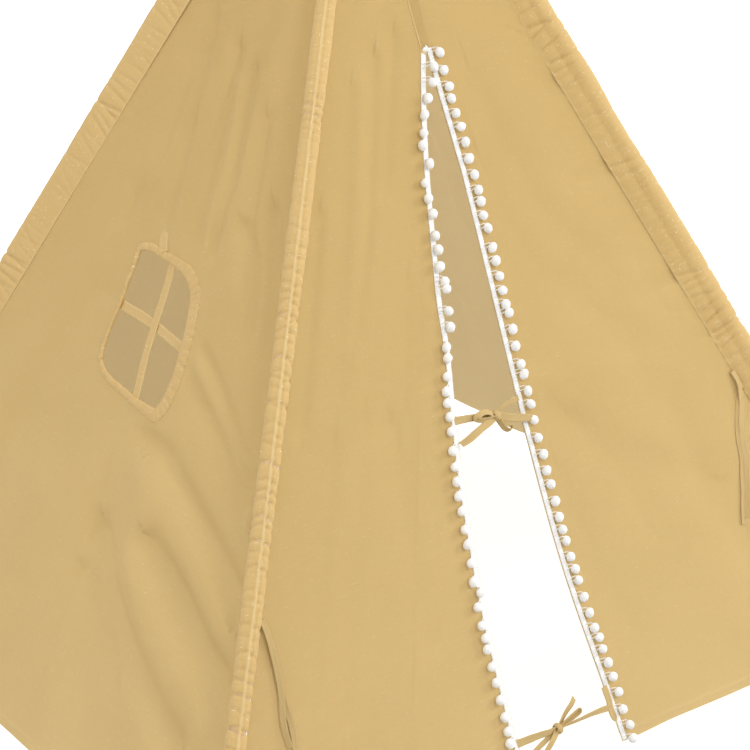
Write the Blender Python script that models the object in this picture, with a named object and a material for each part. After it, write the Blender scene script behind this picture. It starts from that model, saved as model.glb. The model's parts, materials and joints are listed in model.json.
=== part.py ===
"""A kids' teepee: four two-part wooden poles that cross under a rope lashing, in a sewn canvas
cover with pole sleeves, a window and a tie-up door edged with pom-poms.

The origin is on the floor under the crossing, +Z is up and the door faces -Y. Metres."""
import bpy
import bmesh
from math import asin, atan2, cos, exp, hypot, pi, sin, sqrt, tan
from mathutils import Matrix, Vector

for old in list(bpy.data.objects):
    bpy.data.objects.remove(old, do_unlink=True)

# Driving dimensions of the whole tent
BASE_WIDTH = 1.25
BASE_DEPTH = 1.15
CROSSING_HEIGHT = 1.334
POLE_LENGTH = 1.85
FIT = 0.0003

# Poles: turned pine in two sections, a crimped metal ferrule, a rubber foot
POLE_RADIUS = 0.011
POLE_PASS_GAP = 0.0014
POLE_CHAMFER = 0.001
POLE_TIP_ROUND = 0.005
FERRULE_WALL = 0.0009
FERRULE_LENGTH = 0.09
FERRULE_CRIMP_DEPTH = 0.0004
FERRULE_CRIMP_WIDTH = 0.004
SOLE_THICKNESS = 0.003
FOOT_WALL = 0.0024
FOOT_HEIGHT = 0.03
FOOT_RIB = 0.0012
FOOT_RIB_COUNT = 3
ROUND_SIDES = 16

# Lashing: a soft rope through a drilled hole in each pole
ROPE_RADIUS = 0.0025
ROPE_HOLE_RADIUS = 0.0034
ROPE_RING_RADIUS = 0.042
KNOT_RADIUS = 0.0075
ROPE_TAIL = 0.03
ROPE_EXIT_SHARE = 1.3
ROPE_LIP_SHARE = 0.8
ROPE_ENTRY_SHARE = 0.9
ROPE_CLOSE_SHARE = 1.2
KNOT_FLAT_SHARE = 0.85
TAIL_WAY_SHARES = (0.4, -0.35, -1)
TAIL_TAPER_SHARE = 0.9

# Canvas cover
CANVAS = 0.0015
SLEEVE_WALL = 0.0019
SLEEVE_SIDES = 12
HEM_HEIGHT = 0.024
CANOPY_DROP = 0.164
SLEEVE_HEM = 0.0305
FOLD_DEPTH = 0.009
FOLD_WIDTH = 0.045

# Door: an upright slit under the centre seam, edged with woven tape, with flaps that fold out
DOOR_CENTRE = -0.004
DOOR_TOP = 0.915
DOOR_LEFT_REACH = 0.121
DOOR_RIGHT_REACH = 0.052
DOOR_LEFT_SHARES = ((0, 0), (0.07, 0.27), (0.28, 0.57), (0.57, 0.87), (0.76, 1), (1, 1))
DOOR_RIGHT_SHARES = ((0, 0.04), (0.05, 0.2), (0.55, 0.22), (0.76, 0.42), (1, 0.98))
FLAP_TOP = 0.74
FLAP_TIP = 0.03
FLAP_HEM_REACH = 0.32
FLAP_GAP = 0.0008
SEAM_TAPE_WIDTH = 0.02
TRIM_TAPE_WIDTH = 0.007
TRIM_TAPE_THICKNESS = 0.0012
POMPOM_RADIUS = 0.006
POMPOM_PITCH = 0.0222
POMPOM_REACH = 0.0085
POMPOM_NECK_RADIUS = 0.0009
POMPOM_FOLD_ZONE = 0.14

# Window in the left wall: a bound opening with a sewn cross
WINDOW_ALONG = 0.0415
WINDOW_HEIGHT = 0.557
WINDOW_WIDTH = 0.157
WINDOW_LENGTH = 0.174
WINDOW_CORNER = 0.045
WINDOW_BINDING = 0.016
WINDOW_BINDING_LAP = 0.002
WINDOW_BAR_WIDTH = 0.013
WINDOW_BAR_LAP = 0.009
WINDOW_TAB_LENGTH = 0.022
WINDOW_CALM = 0.06

# Ties: narrow folded canvas tape
TAPE = 0.0012
DOOR_TIE_WIDTH = 0.010
BACK_TIE_WIDTH = 0.009
TACK_THICKNESS = 0.003
BOW_KNOT = 0.007
BOW_KNOT_SHARES = (1, 0.7, 0.8)
BOW_BULGE_SHARE = 0.6
BOW_END = 0.055
BOW_LOOP = 0.033
LOOP_WIDTH_SHARE = 0.7
LOOP_SPREAD_SHARE = 0.3
LOOP_LIFT_SHARE = 0.8
UPPER_BOW_HEIGHT = 0.462
UPPER_BOW_REACH = 0.040
LOWER_BOW_HEIGHT = 0.081
LOWER_BOW_REACH = 0.057
TIE_BACK_LEFT_HEIGHT = 0.319
TIE_BACK_LEFT_DROP = 0.151
TIE_BACK_RIGHT_HEIGHT = 0.425
TIE_BACK_RIGHT_DROP = 0.198

Z = Vector((0, 0, 1))
CANOPY_TOP = CROSSING_HEIGHT - CANOPY_DROP
SLEEVE_BORE = POLE_RADIUS + 2 * FIT
SLEEVE_RADIUS = SLEEVE_BORE + SLEEVE_WALL
TENON_RADIUS = POLE_RADIUS - FERRULE_WALL
FOOT_CORNER = hypot(BASE_WIDTH, BASE_DEPTH) / 2
LEAN = atan2(FOOT_CORNER, CROSSING_HEIGHT)


def crossing_offset():
    """How far each pole's axis passes the tent's centre line, so that neighbours just clear."""
    turn = 2 * atan2(min(BASE_WIDTH, BASE_DEPTH), max(BASE_WIDTH, BASE_DEPTH))
    chord = 2 * (1 - cos(turn))
    spacing = 2 * POLE_RADIUS + POLE_PASS_GAP
    return spacing * sqrt((sin(LEAN) * sin(turn)) ** 2 + cos(LEAN) ** 2 * chord) / (cos(LEAN) * chord)


POLE_OFFSET = crossing_offset()


def material(name, colour, roughness, metallic=0.0):
    made = bpy.data.materials.new(name)
    made.use_nodes = True
    shader = made.node_tree.nodes["Principled BSDF"]
    shader.inputs["Base Color"].default_value = (*colour, 1)
    shader.inputs["Roughness"].default_value = roughness
    shader.inputs["Metallic"].default_value = metallic
    made.diffuse_color = (*colour, 1)
    return made


PINE = material("pine", (0.66, 0.47, 0.27), 0.55)
STEEL = material("ferrule_metal", (0.72, 0.72, 0.70), 0.35, 1.0)
RUBBER = material("foot_rubber", (0.06, 0.055, 0.05), 0.8)
ROPE = material("cotton_rope", (0.82, 0.76, 0.64), 0.9)
CLOTH = material("mustard_canvas", (0.68, 0.50, 0.21), 0.9)
TIE_CLOTH = material("mustard_tape", (0.52, 0.37, 0.15), 0.9)
TRIM = material("white_trim", (0.90, 0.89, 0.86), 0.95)


def add(name, bm, look, parent=None, smooth=None):
    """Turn a bmesh into a named object; with a parent, the mesh is in the parent's frame."""
    mesh = bpy.data.meshes.new(name)
    bm.to_mesh(mesh)
    bm.free()
    mesh.materials.append(look)
    if smooth is not None:
        mesh.shade_smooth()
        mesh.set_sharp_from_angle(angle=smooth)
    made = bpy.data.objects.new(name, mesh)
    bpy.context.scene.collection.objects.link(made)
    if parent is not None:
        made.parent = parent
    return made


def cut(target, cutter, operation="DIFFERENCE"):
    """Boolean with a guide object, which stays hidden."""
    step = target.modifiers.new(operation.lower(), "BOOLEAN")
    step.operation = operation
    step.object = cutter
    step.solver = "EXACT"
    cutter.hide_render = True
    cutter.display_type = "WIRE"


def turned(profile, sides, closed=False):
    """Revolve a profile of (radius, height) about Z; a closed profile makes a tube."""
    bm = bmesh.new()
    rim = [bm.verts.new((radius, 0, height)) for radius, height in profile]
    edges = [bm.edges.new(pair) for pair in zip(rim, rim[1:])]
    if closed:
        edges.append(bm.edges.new((rim[-1], rim[0])))
    bmesh.ops.spin(bm, geom=rim + edges, cent=(0, 0, 0), axis=(0, 0, 1), angle=2 * pi,
                   steps=sides, use_merge=True)
    bmesh.ops.remove_doubles(bm, verts=bm.verts[:], dist=FIT / 30)
    bmesh.ops.recalc_face_normals(bm, faces=bm.faces[:])
    return bm


def smooth_step(share):
    share = min(1, max(0, share))
    return share * share * (3 - 2 * share)


def follow(shares, at):
    """Read a table of (place, value) shares as one smooth curve."""
    last = len(shares) - 1
    k = next((i for i in range(last) if at <= shares[i + 1][0]), last - 1)

    def slope(i):
        low, high = max(0, i - 1), min(last, i + 1)
        return (shares[high][1] - shares[low][1]) / (shares[high][0] - shares[low][0])

    (x0, y0), (x1, y1) = shares[k], shares[k + 1]
    step = x1 - x0
    s = min(1, max(0, (at - x0) / step))
    return (y0 * (1 + 2 * s) * (1 - s) ** 2 + slope(k) * step * s * (1 - s) ** 2
            + y1 * s * s * (3 - 2 * s) + slope(k + 1) * step * s * s * (s - 1))


class Pole:
    """A pole's place: it leans in a plane that passes the tent's centre line at POLE_OFFSET."""

    def __init__(self, name, across, back):
        self.name = name
        self.foot = Vector((across * BASE_WIDTH / 2, back * BASE_DEPTH / 2, 0))
        turn = Matrix.Rotation(-asin(POLE_OFFSET / self.foot.length), 3, "Z")
        self.out = turn @ self.foot.normalized()
        self.side = Vector((-self.out.y, self.out.x, 0))
        crossing = self.side * POLE_OFFSET + Z * CROSSING_HEIGHT
        self.up = (crossing - self.foot).normalized()
        self.reach = (crossing - self.foot).length
        self.frame = bpy.data.objects.new("hinge_" + name, None)
        bpy.context.scene.collection.objects.link(self.frame)
        axes = Matrix((self.side.cross(self.up), self.side, self.up)).transposed()
        self.frame.matrix_world = Matrix.Translation(Z * CROSSING_HEIGHT) @ axes.to_4x4()

    def at(self, height):
        return self.foot + self.up * (height / self.up.z)

    def seat(self, made):
        """Parent a piece made along Z from the pole's foot, so that it lies along the pole."""
        made.parent = self.frame
        made.location = (0, POLE_OFFSET, -self.reach)


FRONT_LEFT = Pole("front_left", -1, -1)
FRONT_RIGHT = Pole("front_right", 1, -1)
BACK_RIGHT = Pole("back_right", 1, 1)
BACK_LEFT = Pole("back_left", -1, 1)
POLES = (FRONT_LEFT, FRONT_RIGHT, BACK_RIGHT, BACK_LEFT)


def door_share(height):
    return (DOOR_TOP - height) / (DOOR_TOP - HEM_HEIGHT)


def door_edge(side, height):
    """Where the trim's inner edge stands on the front wall; side is -1 left, 1 right."""
    if side < 0:
        return DOOR_CENTRE - DOOR_LEFT_REACH * follow(DOOR_LEFT_SHARES, door_share(height))
    return DOOR_CENTRE + DOOR_RIGHT_REACH * follow(DOOR_RIGHT_SHARES, door_share(height))


def canvas_door_edge(side, height):
    return door_edge(side, height) + side * (TRIM_TAPE_WIDTH + FIT)


def hinge_line(side, height):
    """The straight crease that a door flap folds about, from its top down to the hem."""
    top = canvas_door_edge(side, FLAP_TOP)
    share = (FLAP_TOP - height) / (FLAP_TOP - HEM_HEIGHT)
    return top + (side * FLAP_HEM_REACH - top) * share


class Wall:
    """A canvas side: a leaning plane whose edges bend to meet the two poles' sleeves.

    Places on it are (along, height): along runs from the left pole to the right, from outside."""

    def __init__(self, left, right, calm_shares, ridge_shares):
        self.left, self.right = left, right
        self.calm_shares, self.ridge_shares = calm_shares, ridge_shares
        self.along = (right.foot - left.foot).normalized()
        self.out = Vector((self.along.y, -self.along.x, 0))
        self.base = left.foot.dot(self.out)
        self.normal = (self.out * CROSSING_HEIGHT + Z * self.base).normalized()

    def plane(self, along, height):
        lean = self.base * (1 - height / CROSSING_HEIGHT)
        return self.along * along + self.out * lean + Z * height

    def edge(self, pole, height):
        """Where the canvas meets a sleeve."""
        tilt = self.along.cross(pole.up).length
        inwards = 1 if pole is self.left else -1
        return pole.at(height).dot(self.along) + inwards * (SLEEVE_RADIUS + 2 * FIT) / tilt

    def stray(self, pole, height):
        """How far out of the plane a pole's axis lies."""
        return (pole.at(height) - self.plane(0, height)).dot(self.out)

    def flat(self, height):
        """The two ends of the stretch that stays in the plane."""
        low, high = self.edge(self.left, height), self.edge(self.right, height)
        return [low + (high - low) * share for share in self.calm_shares]

    def fold(self, along, height):
        """The cloth's main folds: soft ridges that fade at the sleeves and round the window."""
        low, high = self.edge(self.left, height), self.edge(self.right, height)
        span = high - low
        lift = 0
        for q0, h0, q1, h1, rise_share, width_share in self.ridge_shares:
            z0 = HEM_HEIGHT + (CANOPY_TOP - HEM_HEIGHT) * h0
            z1 = HEM_HEIGHT + (CANOPY_TOP - HEM_HEIGHT) * h1
            ends = [self.edge(self.left, z) + q * (self.edge(self.right, z) - self.edge(self.left, z))
                    for z, q in ((z0, q0), (z1, q1))]
            run = Vector((ends[1] - ends[0], z1 - z0))
            away = Vector((along - ends[0], height - z0))
            share = min(1, max(0, away.dot(run) / run.length_squared))
            gap = (away - run * share).length / (FOLD_WIDTH * width_share)
            lift += FOLD_DEPTH * rise_share * exp(-gap * gap)
        return lift * sin(pi * min(1, max(0, (along - low) / span))) * self.calm(along, height)

    def calm(self, along, height):
        return 1

    def point(self, along, height, offset=0.0):
        flat_low, flat_high = self.flat(height)
        low, high = self.edge(self.left, height), self.edge(self.right, height)
        bend = 0
        if along < flat_low:
            share = smooth_step((flat_low - along) / (flat_low - low))
            bend = self.stray(self.left, height) * share
        if along > flat_high:
            share = smooth_step((along - flat_high) / (high - flat_high))
            bend = self.stray(self.right, height) * share
        lift = offset + self.fold(along, height)
        return self.plane(along, height) + self.out * bend + self.normal * lift


class DoorWall(Wall):
    """The front: flat between the two flap creases, so that the flaps fold cleanly."""

    def flat(self, height):
        if height > FLAP_TOP:
            return [canvas_door_edge(-1, FLAP_TOP) * self.narrowing(height),
                    canvas_door_edge(1, FLAP_TOP) * self.narrowing(height)]
        return [hinge_line(-1, height), hinge_line(1, height)]

    def narrowing(self, height):
        return (CROSSING_HEIGHT - height) / (CROSSING_HEIGHT - FLAP_TOP)

    def calm(self, along, height):
        low, high = self.flat(height)
        if along < low:
            return smooth_step((low - along) / (2 * FOLD_WIDTH))
        return smooth_step((along - high) / (2 * FOLD_WIDTH))


class WindowWall(Wall):
    """The left side: flat round its window."""

    def calm(self, along, height):
        slope = abs(height - WINDOW_HEIGHT) / self.normal.dot(self.out)
        away = max(abs(along - WINDOW_ALONG) - WINDOW_WIDTH / 2, slope - WINDOW_LENGTH / 2)
        return smooth_step((away - WINDOW_CALM / 2) / WINDOW_CALM)


# Each ridge: its two ends as (along, height) shares, how high and how wide it is
LEFT_RIDGE_SHARES = (
    (0.66, 0.42, 0.93, 0.86, 0.8, 0.8), (0.70, 0.28, 0.88, 0.02, 1.0, 1.0),
    (0.60, 0.26, 0.70, 0.02, -0.9, 1.1), (0.82, 0.50, 0.94, 0.30, -0.7, 0.7),
    (0.30, 0.62, 0.16, 0.25, 0.8, 1.0), (0.26, 0.30, 0.20, 0.02, -0.8, 1.0),
    (0.42, 0.24, 0.40, 0.02, 0.8, 1.1), (0.45, 0.72, 0.62, 0.95, 0.5, 0.7))
PLAIN_RIDGE_SHARES = (
    (0.20, 0.02, 0.34, 0.70, 0.9, 1.0), (0.40, 0.02, 0.44, 0.45, -0.8, 1.1),
    (0.62, 0.02, 0.56, 0.60, 1.0, 1.1), (0.83, 0.02, 0.70, 0.72, -0.7, 1.0))
DOOR_RIDGE_SHARES = (
    (0.08, 0.10, 0.20, 0.62, 0.6, 0.8), (0.16, 0.02, 0.24, 0.34, -0.7, 0.8),
    (0.93, 0.06, 0.78, 0.70, 0.7, 0.9), (0.84, 0.02, 0.80, 0.40, -0.6, 0.8))

FRONT = DoorWall(FRONT_LEFT, FRONT_RIGHT, None, DOOR_RIDGE_SHARES)
RIGHT = Wall(FRONT_RIGHT, BACK_RIGHT, (0.3, 0.7), PLAIN_RIDGE_SHARES)
BACK = Wall(BACK_RIGHT, BACK_LEFT, (0.3, 0.7), PLAIN_RIDGE_SHARES)
LEFT = WindowWall(BACK_LEFT, FRONT_LEFT, (0.25, 0.75), LEFT_RIDGE_SHARES)


def poles():
    """Two turned sections, a ferrule over their tenons and a rubber foot for each pole."""
    foot_start = POLE_RADIUS * tan(LEAN) + SOLE_THICKNESS
    joint = POLE_LENGTH / 2
    half = FERRULE_LENGTH / 2
    bore = TENON_RADIUS + FIT
    shell = bore + FERRULE_WALL
    cup = POLE_RADIUS + FIT
    rim = cup + FOOT_WALL
    rib_pitch = (FOOT_HEIGHT - foot_start) / (FOOT_RIB_COUNT + 1)
    for pole in POLES:
        lower = turned([
            (0, foot_start), (POLE_RADIUS - POLE_CHAMFER, foot_start),
            (POLE_RADIUS, foot_start + POLE_CHAMFER), (POLE_RADIUS, joint - half),
            (TENON_RADIUS, joint - half), (TENON_RADIUS, joint - FIT / 2),
            (0, joint - FIT / 2)], ROUND_SIDES)
        pole.seat(add(pole.name + "_lower_pole", lower, PINE, smooth=pi / 6))
        tip = [(POLE_RADIUS - POLE_TIP_ROUND * (1 - cos(a)), POLE_LENGTH - POLE_TIP_ROUND * (1 - sin(a)))
               for a in (pi / 2 * k / 3 for k in range(4))]
        upper = turned([
            (0, joint + FIT / 2), (TENON_RADIUS, joint + FIT / 2), (TENON_RADIUS, joint + half),
            (POLE_RADIUS, joint + half), *tip, (0, POLE_LENGTH)], ROUND_SIDES)
        section = add(pole.name + "_upper_pole", upper, PINE, smooth=pi / 6)
        pole.seat(section)
        drill = bmesh.new()
        bmesh.ops.create_cone(drill, segments=ROUND_SIDES, radius1=ROPE_HOLE_RADIUS, cap_ends=True,
                              radius2=ROPE_HOLE_RADIUS, depth=4 * POLE_RADIUS)
        guide = add("drill_" + pole.name, drill, PINE, pole.frame)
        guide.location = (0, POLE_OFFSET, 0)
        guide.rotation_euler = (pi / 2, 0, 0)
        cut(section, guide)
        crimp = [(shell, joint - FERRULE_CRIMP_WIDTH), (shell - FERRULE_CRIMP_DEPTH, joint),
                 (shell, joint + FERRULE_CRIMP_WIDTH)]
        ferrule = turned([
            (bore, joint - half + FIT), (shell, joint - half + FIT), *crimp,
            (shell, joint + half - FIT), (bore, joint + half - FIT)], ROUND_SIDES, closed=True)
        pole.seat(add(pole.name + "_ferrule", ferrule, STEEL, smooth=pi / 6))
        ribs = [(rim + FOOT_RIB * (k % 2), foot_start + rib_pitch * (k + 1) / 2)
                for k in range(1, 2 * FOOT_RIB_COUNT + 1)]
        foot = turned([
            (0, -rim), (rim, -rim), (rim, foot_start), *ribs, (rim, FOOT_HEIGHT), (cup, FOOT_HEIGHT),
            (cup, foot_start - FIT), (0, foot_start - FIT)], ROUND_SIDES)
        ground = Vector((sin(LEAN), 0, cos(LEAN)))
        bmesh.ops.bisect_plane(foot, geom=foot.verts[:] + foot.edges[:] + foot.faces[:],
                               plane_co=(0, 0, 0), plane_no=ground, clear_inner=True)
        bmesh.ops.holes_fill(foot, edges=[e for e in foot.edges if e.is_boundary], sides=0)
        bmesh.ops.recalc_face_normals(foot, faces=foot.faces[:])
        pole.seat(add(pole.name + "_foot", foot, RUBBER, smooth=pi / 6))


def sleeves():
    """The cover's four corner tubes, each sewn round its pole from the hem to the smoke hole."""
    for pole in POLES:
        start, end = SLEEVE_HEM / pole.up.z, CANOPY_TOP / pole.up.z
        tube = turned([(SLEEVE_BORE, start), (SLEEVE_RADIUS, start), (SLEEVE_RADIUS, end),
                       (SLEEVE_BORE, end)], SLEEVE_SIDES, closed=True)
        # the bore is turned with flats, so its corners stand out past the round pole
        for vert in tube.verts:
            if hypot(vert.co.x, vert.co.y) < (SLEEVE_BORE + SLEEVE_RADIUS) / 2:
                vert.co.xy = vert.co.xy / cos(pi / SLEEVE_SIDES)
        pole.seat(add(pole.name + "_sleeve", tube, CLOTH, smooth=pi / 4))


def smooth_route(points, steps):
    """A Catmull-Rom curve through the route's points."""
    route = []
    count = len(points)
    for k in range(count - 1):
        before, here = points[max(0, k - 1)], points[k]
        after, later = points[k + 1], points[min(count - 1, k + 2)]
        for step in range(steps):
            s = step / steps
            route.append(0.5 * (2 * here + (after - before) * s
                                + (2 * before - 5 * here + 4 * after - later) * s * s
                                + (3 * here - before - 3 * after + later) * s ** 3))
    return route + [points[-1]]


def lashing():
    """One rope through all four poles and round their outer sides, closed by a knot in front."""
    knot_at = Vector((0, -ROPE_RING_RADIUS, CROSSING_HEIGHT))

    def ring(angle):
        return Vector((cos(angle), sin(angle), 0)) * ROPE_RING_RADIUS + Z * CROSSING_HEIGHT

    def hole(pole, sides):
        """Places along a pole's drilled hole: sides is -1 inside, 0 middle, 1 outside."""
        return pole.side * (POLE_OFFSET + sides * POLE_RADIUS) + Z * CROSSING_HEIGHT

    turn_in = POLE_OFFSET - POLE_RADIUS - ROPE_RADIUS
    spread = atan2(FRONT_RIGHT.side.y, FRONT_RIGHT.side.x)
    swing = (pi / 2 - spread) / 3
    inward = (ROPE_EXIT_SHARE, ROPE_LIP_SHARE, 0, -ROPE_ENTRY_SHARE)
    outward = inward[::-1]
    route = [knot_at + Vector((KNOT_RADIUS, 0, 0)), ring(-pi / 2 + ROPE_CLOSE_SHARE * swing),
             ring(-pi / 2 + 2 * swing)]
    route += [hole(FRONT_LEFT, s) for s in inward]
    route += [Vector((turn_in, 0, CROSSING_HEIGHT))]
    route += [hole(FRONT_RIGHT, s) for s in outward]
    route += [ring(pi / 2 + swing * k) for k in (-2, -1, 0, 1, 2)]
    route += [hole(BACK_RIGHT, s) for s in inward]
    route += [Vector((-turn_in, 0, CROSSING_HEIGHT))]
    route += [hole(BACK_LEFT, s) for s in outward]
    route += [ring(-pi / 2 - 2 * swing), ring(-pi / 2 - ROPE_CLOSE_SHARE * swing),
              knot_at - Vector((KNOT_RADIUS, 0, 0))]
    tube("lashing_rope", smooth_route(route, 2), ROPE_RADIUS, ROPE)
    knot = bmesh.new()
    bmesh.ops.create_icosphere(knot, subdivisions=2, radius=KNOT_RADIUS - 2 * FIT)
    bmesh.ops.scale(knot, vec=(1, KNOT_FLAT_SHARE, 1), verts=knot.verts[:])
    bmesh.ops.translate(knot, vec=knot_at, verts=knot.verts[:])
    body = add("lashing_knot", knot, ROPE, smooth=pi)
    for side in (-1, 1):
        across, forward, down = TAIL_WAY_SHARES
        drop = Vector((side * across, forward, down)).normalized()
        tail = bmesh.new()
        bmesh.ops.create_cone(tail, segments=8, radius1=ROPE_RADIUS, radius2=ROPE_RADIUS * TAIL_TAPER_SHARE,
                              depth=ROPE_TAIL, cap_ends=True)
        turn = Z.rotation_difference(drop).to_matrix().to_4x4()
        place = Matrix.Translation(knot_at + drop * ROPE_TAIL / 2) @ turn
        bmesh.ops.transform(tail, matrix=place, verts=tail.verts[:])
        word = "left" if side < 0 else "right"
        cut(body, add(f"rope_tail_{word}_guide", tail, ROPE), "UNION")


def tube(name, route, radius, look):
    """A round cord along a route, as a bevelled curve with filled ends."""
    curve = bpy.data.curves.new(name, "CURVE")
    curve.dimensions = "3D"
    curve.bevel_depth = radius
    curve.bevel_resolution = 2
    curve.use_fill_caps = True
    curve.materials.append(look)
    spline = curve.splines.new("POLY")
    spline.points.add(len(route) - 1)
    for point, place in zip(spline.points, route):
        point.co = (*place, 1)
    made = bpy.data.objects.new(name, curve)
    bpy.context.scene.collection.objects.link(made)
    return made


def thicken(made, thickness):
    step = made.modifiers.new("thickness", "SOLIDIFY")
    step.thickness = thickness
    step.offset = 0
    step.use_even_offset = True
    return made


def sheet(name, wall, low, high, heights, columns, look=CLOTH, thickness=CANVAS):
    """A panel on a wall, from low(height) to high(height)."""
    bm = bmesh.new()
    bmesh.ops.create_grid(bm, x_segments=columns, y_segments=len(heights) - 1, size=1)
    for vert in bm.verts:
        height = heights[round((vert.co.y + 1) / 2 * (len(heights) - 1))]
        share = (vert.co.x + 1) / 2
        along = low(height) + (high(height) - low(height)) * share
        vert.co = wall.point(along, height)
    return thicken(add(name, bm, look, smooth=pi / 3), thickness)


def rows(*stretches):
    """Heights for a panel's rows: each stretch is (start, end, steps)."""
    heights = [stretches[0][0]]
    for start, end, steps in stretches:
        heights += [start + (end - start) * (k + 1) / steps for k in range(steps)]
    return heights


DOOR_ROWS = rows((HEM_HEIGHT, FLAP_TOP, 12), (FLAP_TOP, DOOR_TOP, 5))


def door_rows(low, high):
    """The door's rows between two heights, so that canvas and braid share their corners."""
    return [low] + [z for z in DOOR_ROWS if low + 2 * FIT < z < high - 2 * FIT] + [high]


def rounded_rectangle(inset):
    """The window's outline at an inset, as (along, height) places on its wall."""
    half_width, half_length = WINDOW_WIDTH / 2 - inset, WINDOW_LENGTH / 2 - inset
    radius = WINDOW_CORNER - inset
    slope = LEFT.normal.dot(LEFT.out)
    outline = []
    for k, (across, up) in enumerate(((1, 1), (-1, 1), (-1, -1), (1, -1))):
        for step in range(5):
            angle = pi / 2 * (k + step / 4)
            along = across * (half_width - radius) + radius * cos(angle)
            rise = up * (half_length - radius) + radius * sin(angle)
            outline.append((WINDOW_ALONG + along, WINDOW_HEIGHT + rise * slope))
    return outline


def walls():
    """The plain walls, and the left one with its window cut out."""
    tall = rows((HEM_HEIGHT, CANOPY_TOP, 15))
    for name, wall in (("right_wall", RIGHT), ("back_wall", BACK)):
        sheet(name, wall, lambda z, w=wall: w.edge(w.left, z), lambda z, w=wall: w.edge(w.right, z),
              tall, 14)
    left = sheet("left_wall", LEFT, lambda z: LEFT.edge(LEFT.left, z),
                 lambda z: LEFT.edge(LEFT.right, z), rows((HEM_HEIGHT, CANOPY_TOP, 20)), 19)
    opening = bmesh.new()
    outline = rounded_rectangle(WINDOW_BINDING - WINDOW_BINDING_LAP)
    face = opening.faces.new([opening.verts.new(LEFT.plane(*place) - LEFT.normal * WINDOW_WIDTH)
                              for place in outline])
    grown = bmesh.ops.extrude_face_region(opening, geom=[face])
    tops = [v for v in grown["geom"] if isinstance(v, bmesh.types.BMVert)]
    bmesh.ops.translate(opening, vec=LEFT.normal * 2 * WINDOW_WIDTH, verts=tops)
    bmesh.ops.recalc_face_normals(opening, faces=opening.faces[:])
    cut(left, add("window_cutter", opening, CLOTH))


def front_panels():
    """Each half of the front: the sewn panel beside the pole and the flap that folds out."""
    for side, word, pole in ((-1, "left", FRONT_LEFT), (1, "right", FRONT_RIGHT)):
        def inner(height):
            if height > DOOR_TOP:
                return DOOR_CENTRE + side * FIT
            if height > FLAP_TOP:
                return canvas_door_edge(side, height)
            return hinge_line(side, height) + side * FLAP_GAP / 2

        def outer(height):
            return FRONT.edge(pole, height)

        shoulder = TRIM_TAPE_WIDTH
        heights = DOOR_ROWS + rows((DOOR_TOP, DOOR_TOP + shoulder, 1),
                                   (DOOR_TOP + shoulder, CANOPY_TOP, 4))[1:]
        ends = (outer, inner) if side < 0 else (inner, outer)
        sheet(f"front_{word}_panel", FRONT, *ends, heights, 9)

        def crease(height):
            return hinge_line(side, height) - side * FLAP_GAP / 2

        def free(height):
            return canvas_door_edge(side, height)

        ends = (crease, free) if side < 0 else (free, crease)
        sheet(f"door_flap_{word}", FRONT, *ends, door_rows(HEM_HEIGHT, FLAP_TOP - FLAP_TIP), 3)


def ribbon(bm, points, across, width, thickness):
    """A flat band along 3D points; across gives its width's direction at each point."""
    rings = []
    for k, place in enumerate(points):
        ahead = (points[min(k + 1, len(points) - 1)] - points[max(k - 1, 0)]).normalized()
        wide = across[k] - ahead * across[k].dot(ahead)
        wide.normalize()
        thick = ahead.cross(wide)
        rings.append([bm.verts.new(place + wide * (a * width / 2) + thick * (b * thickness / 2))
                      for a, b in ((-1, -1), (1, -1), (1, 1), (-1, 1))])
    for one, two in zip(rings, rings[1:]):
        for k in range(4):
            bm.faces.new((one[k], one[(k + 1) % 4], two[(k + 1) % 4], two[k]))
    bm.faces.new(rings[0][::-1])
    bm.faces.new(rings[-1])


def wall_ribbon(bm, wall, places, width, thickness, flat=True):
    """A band on a wall through (along, height, offset) places, lying flat or on its edge."""
    points = [wall.point(*place) for place in places]
    across = []
    for k in range(len(points)):
        ahead = points[min(k + 1, len(points) - 1)] - points[max(k - 1, 0)]
        across.append(wall.normal.cross(ahead.normalized()) if flat else wall.normal)
    ribbon(bm, points, across, width, thickness)


def finish(bm):
    bmesh.ops.recalc_face_normals(bm, faces=bm.faces[:])
    return bm


def door_trim():
    """The seam tape inside the front, and the pom-pom braid on the door's two edges."""
    inside = -(CANVAS + TAPE) / 2 - FIT
    seam = bmesh.new()
    wall_ribbon(seam, FRONT, [(DOOR_CENTRE, z, inside) for z in rows(
        (DOOR_TOP + 2 * FIT, CANOPY_TOP, 4))], SEAM_TAPE_WIDTH, TAPE)
    add("centre_seam_tape", finish(seam), CLOTH)
    fold_end = FLAP_TOP - POMPOM_FOLD_ZONE
    for side, word in ((-1, "left"), (1, "right")):
        braid(side, f"door_trim_{word}_top", DOOR_TOP - 2 * FIT, FLAP_TOP + FIT)
        braid(side, f"door_trim_{word}_fold", FLAP_TOP, fold_end + FIT)
        braid(side, f"door_trim_{word}_low", fold_end, HEM_HEIGHT)


def braid(side, name, start, end):
    """A stretch of woven tape along a door edge, with its yarn balls."""
    def inner(height):
        return door_edge(side, height)

    def outer(height):
        return door_edge(side, height) + side * TRIM_TAPE_WIDTH

    ends = (outer, inner) if side < 0 else (inner, outer)
    body = sheet(name, FRONT, *ends, door_rows(end, start), 1, TRIM, TRIM_TAPE_THICKNESS)
    balls = bmesh.new()
    for height in pompom_heights(side):
        if end + POMPOM_NECK_RADIUS < height < start - POMPOM_NECK_RADIUS:
            pompom(balls, side, height)
    cut(body, add(name + "_balls_guide", finish(balls), TRIM), "UNION")


def pompom_heights(side):
    """Even steps along a door edge, from the top of the slit to the hem."""
    heights = []
    height = DOOR_TOP - POMPOM_PITCH / 2
    while height > HEM_HEIGHT + POMPOM_RADIUS:
        heights.append(height)
        step = FRONT.point(door_edge(side, height - POMPOM_RADIUS), height - POMPOM_RADIUS)
        here = FRONT.point(door_edge(side, height), height)
        height -= POMPOM_PITCH * POMPOM_RADIUS / (step - here).length
    return heights


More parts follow.
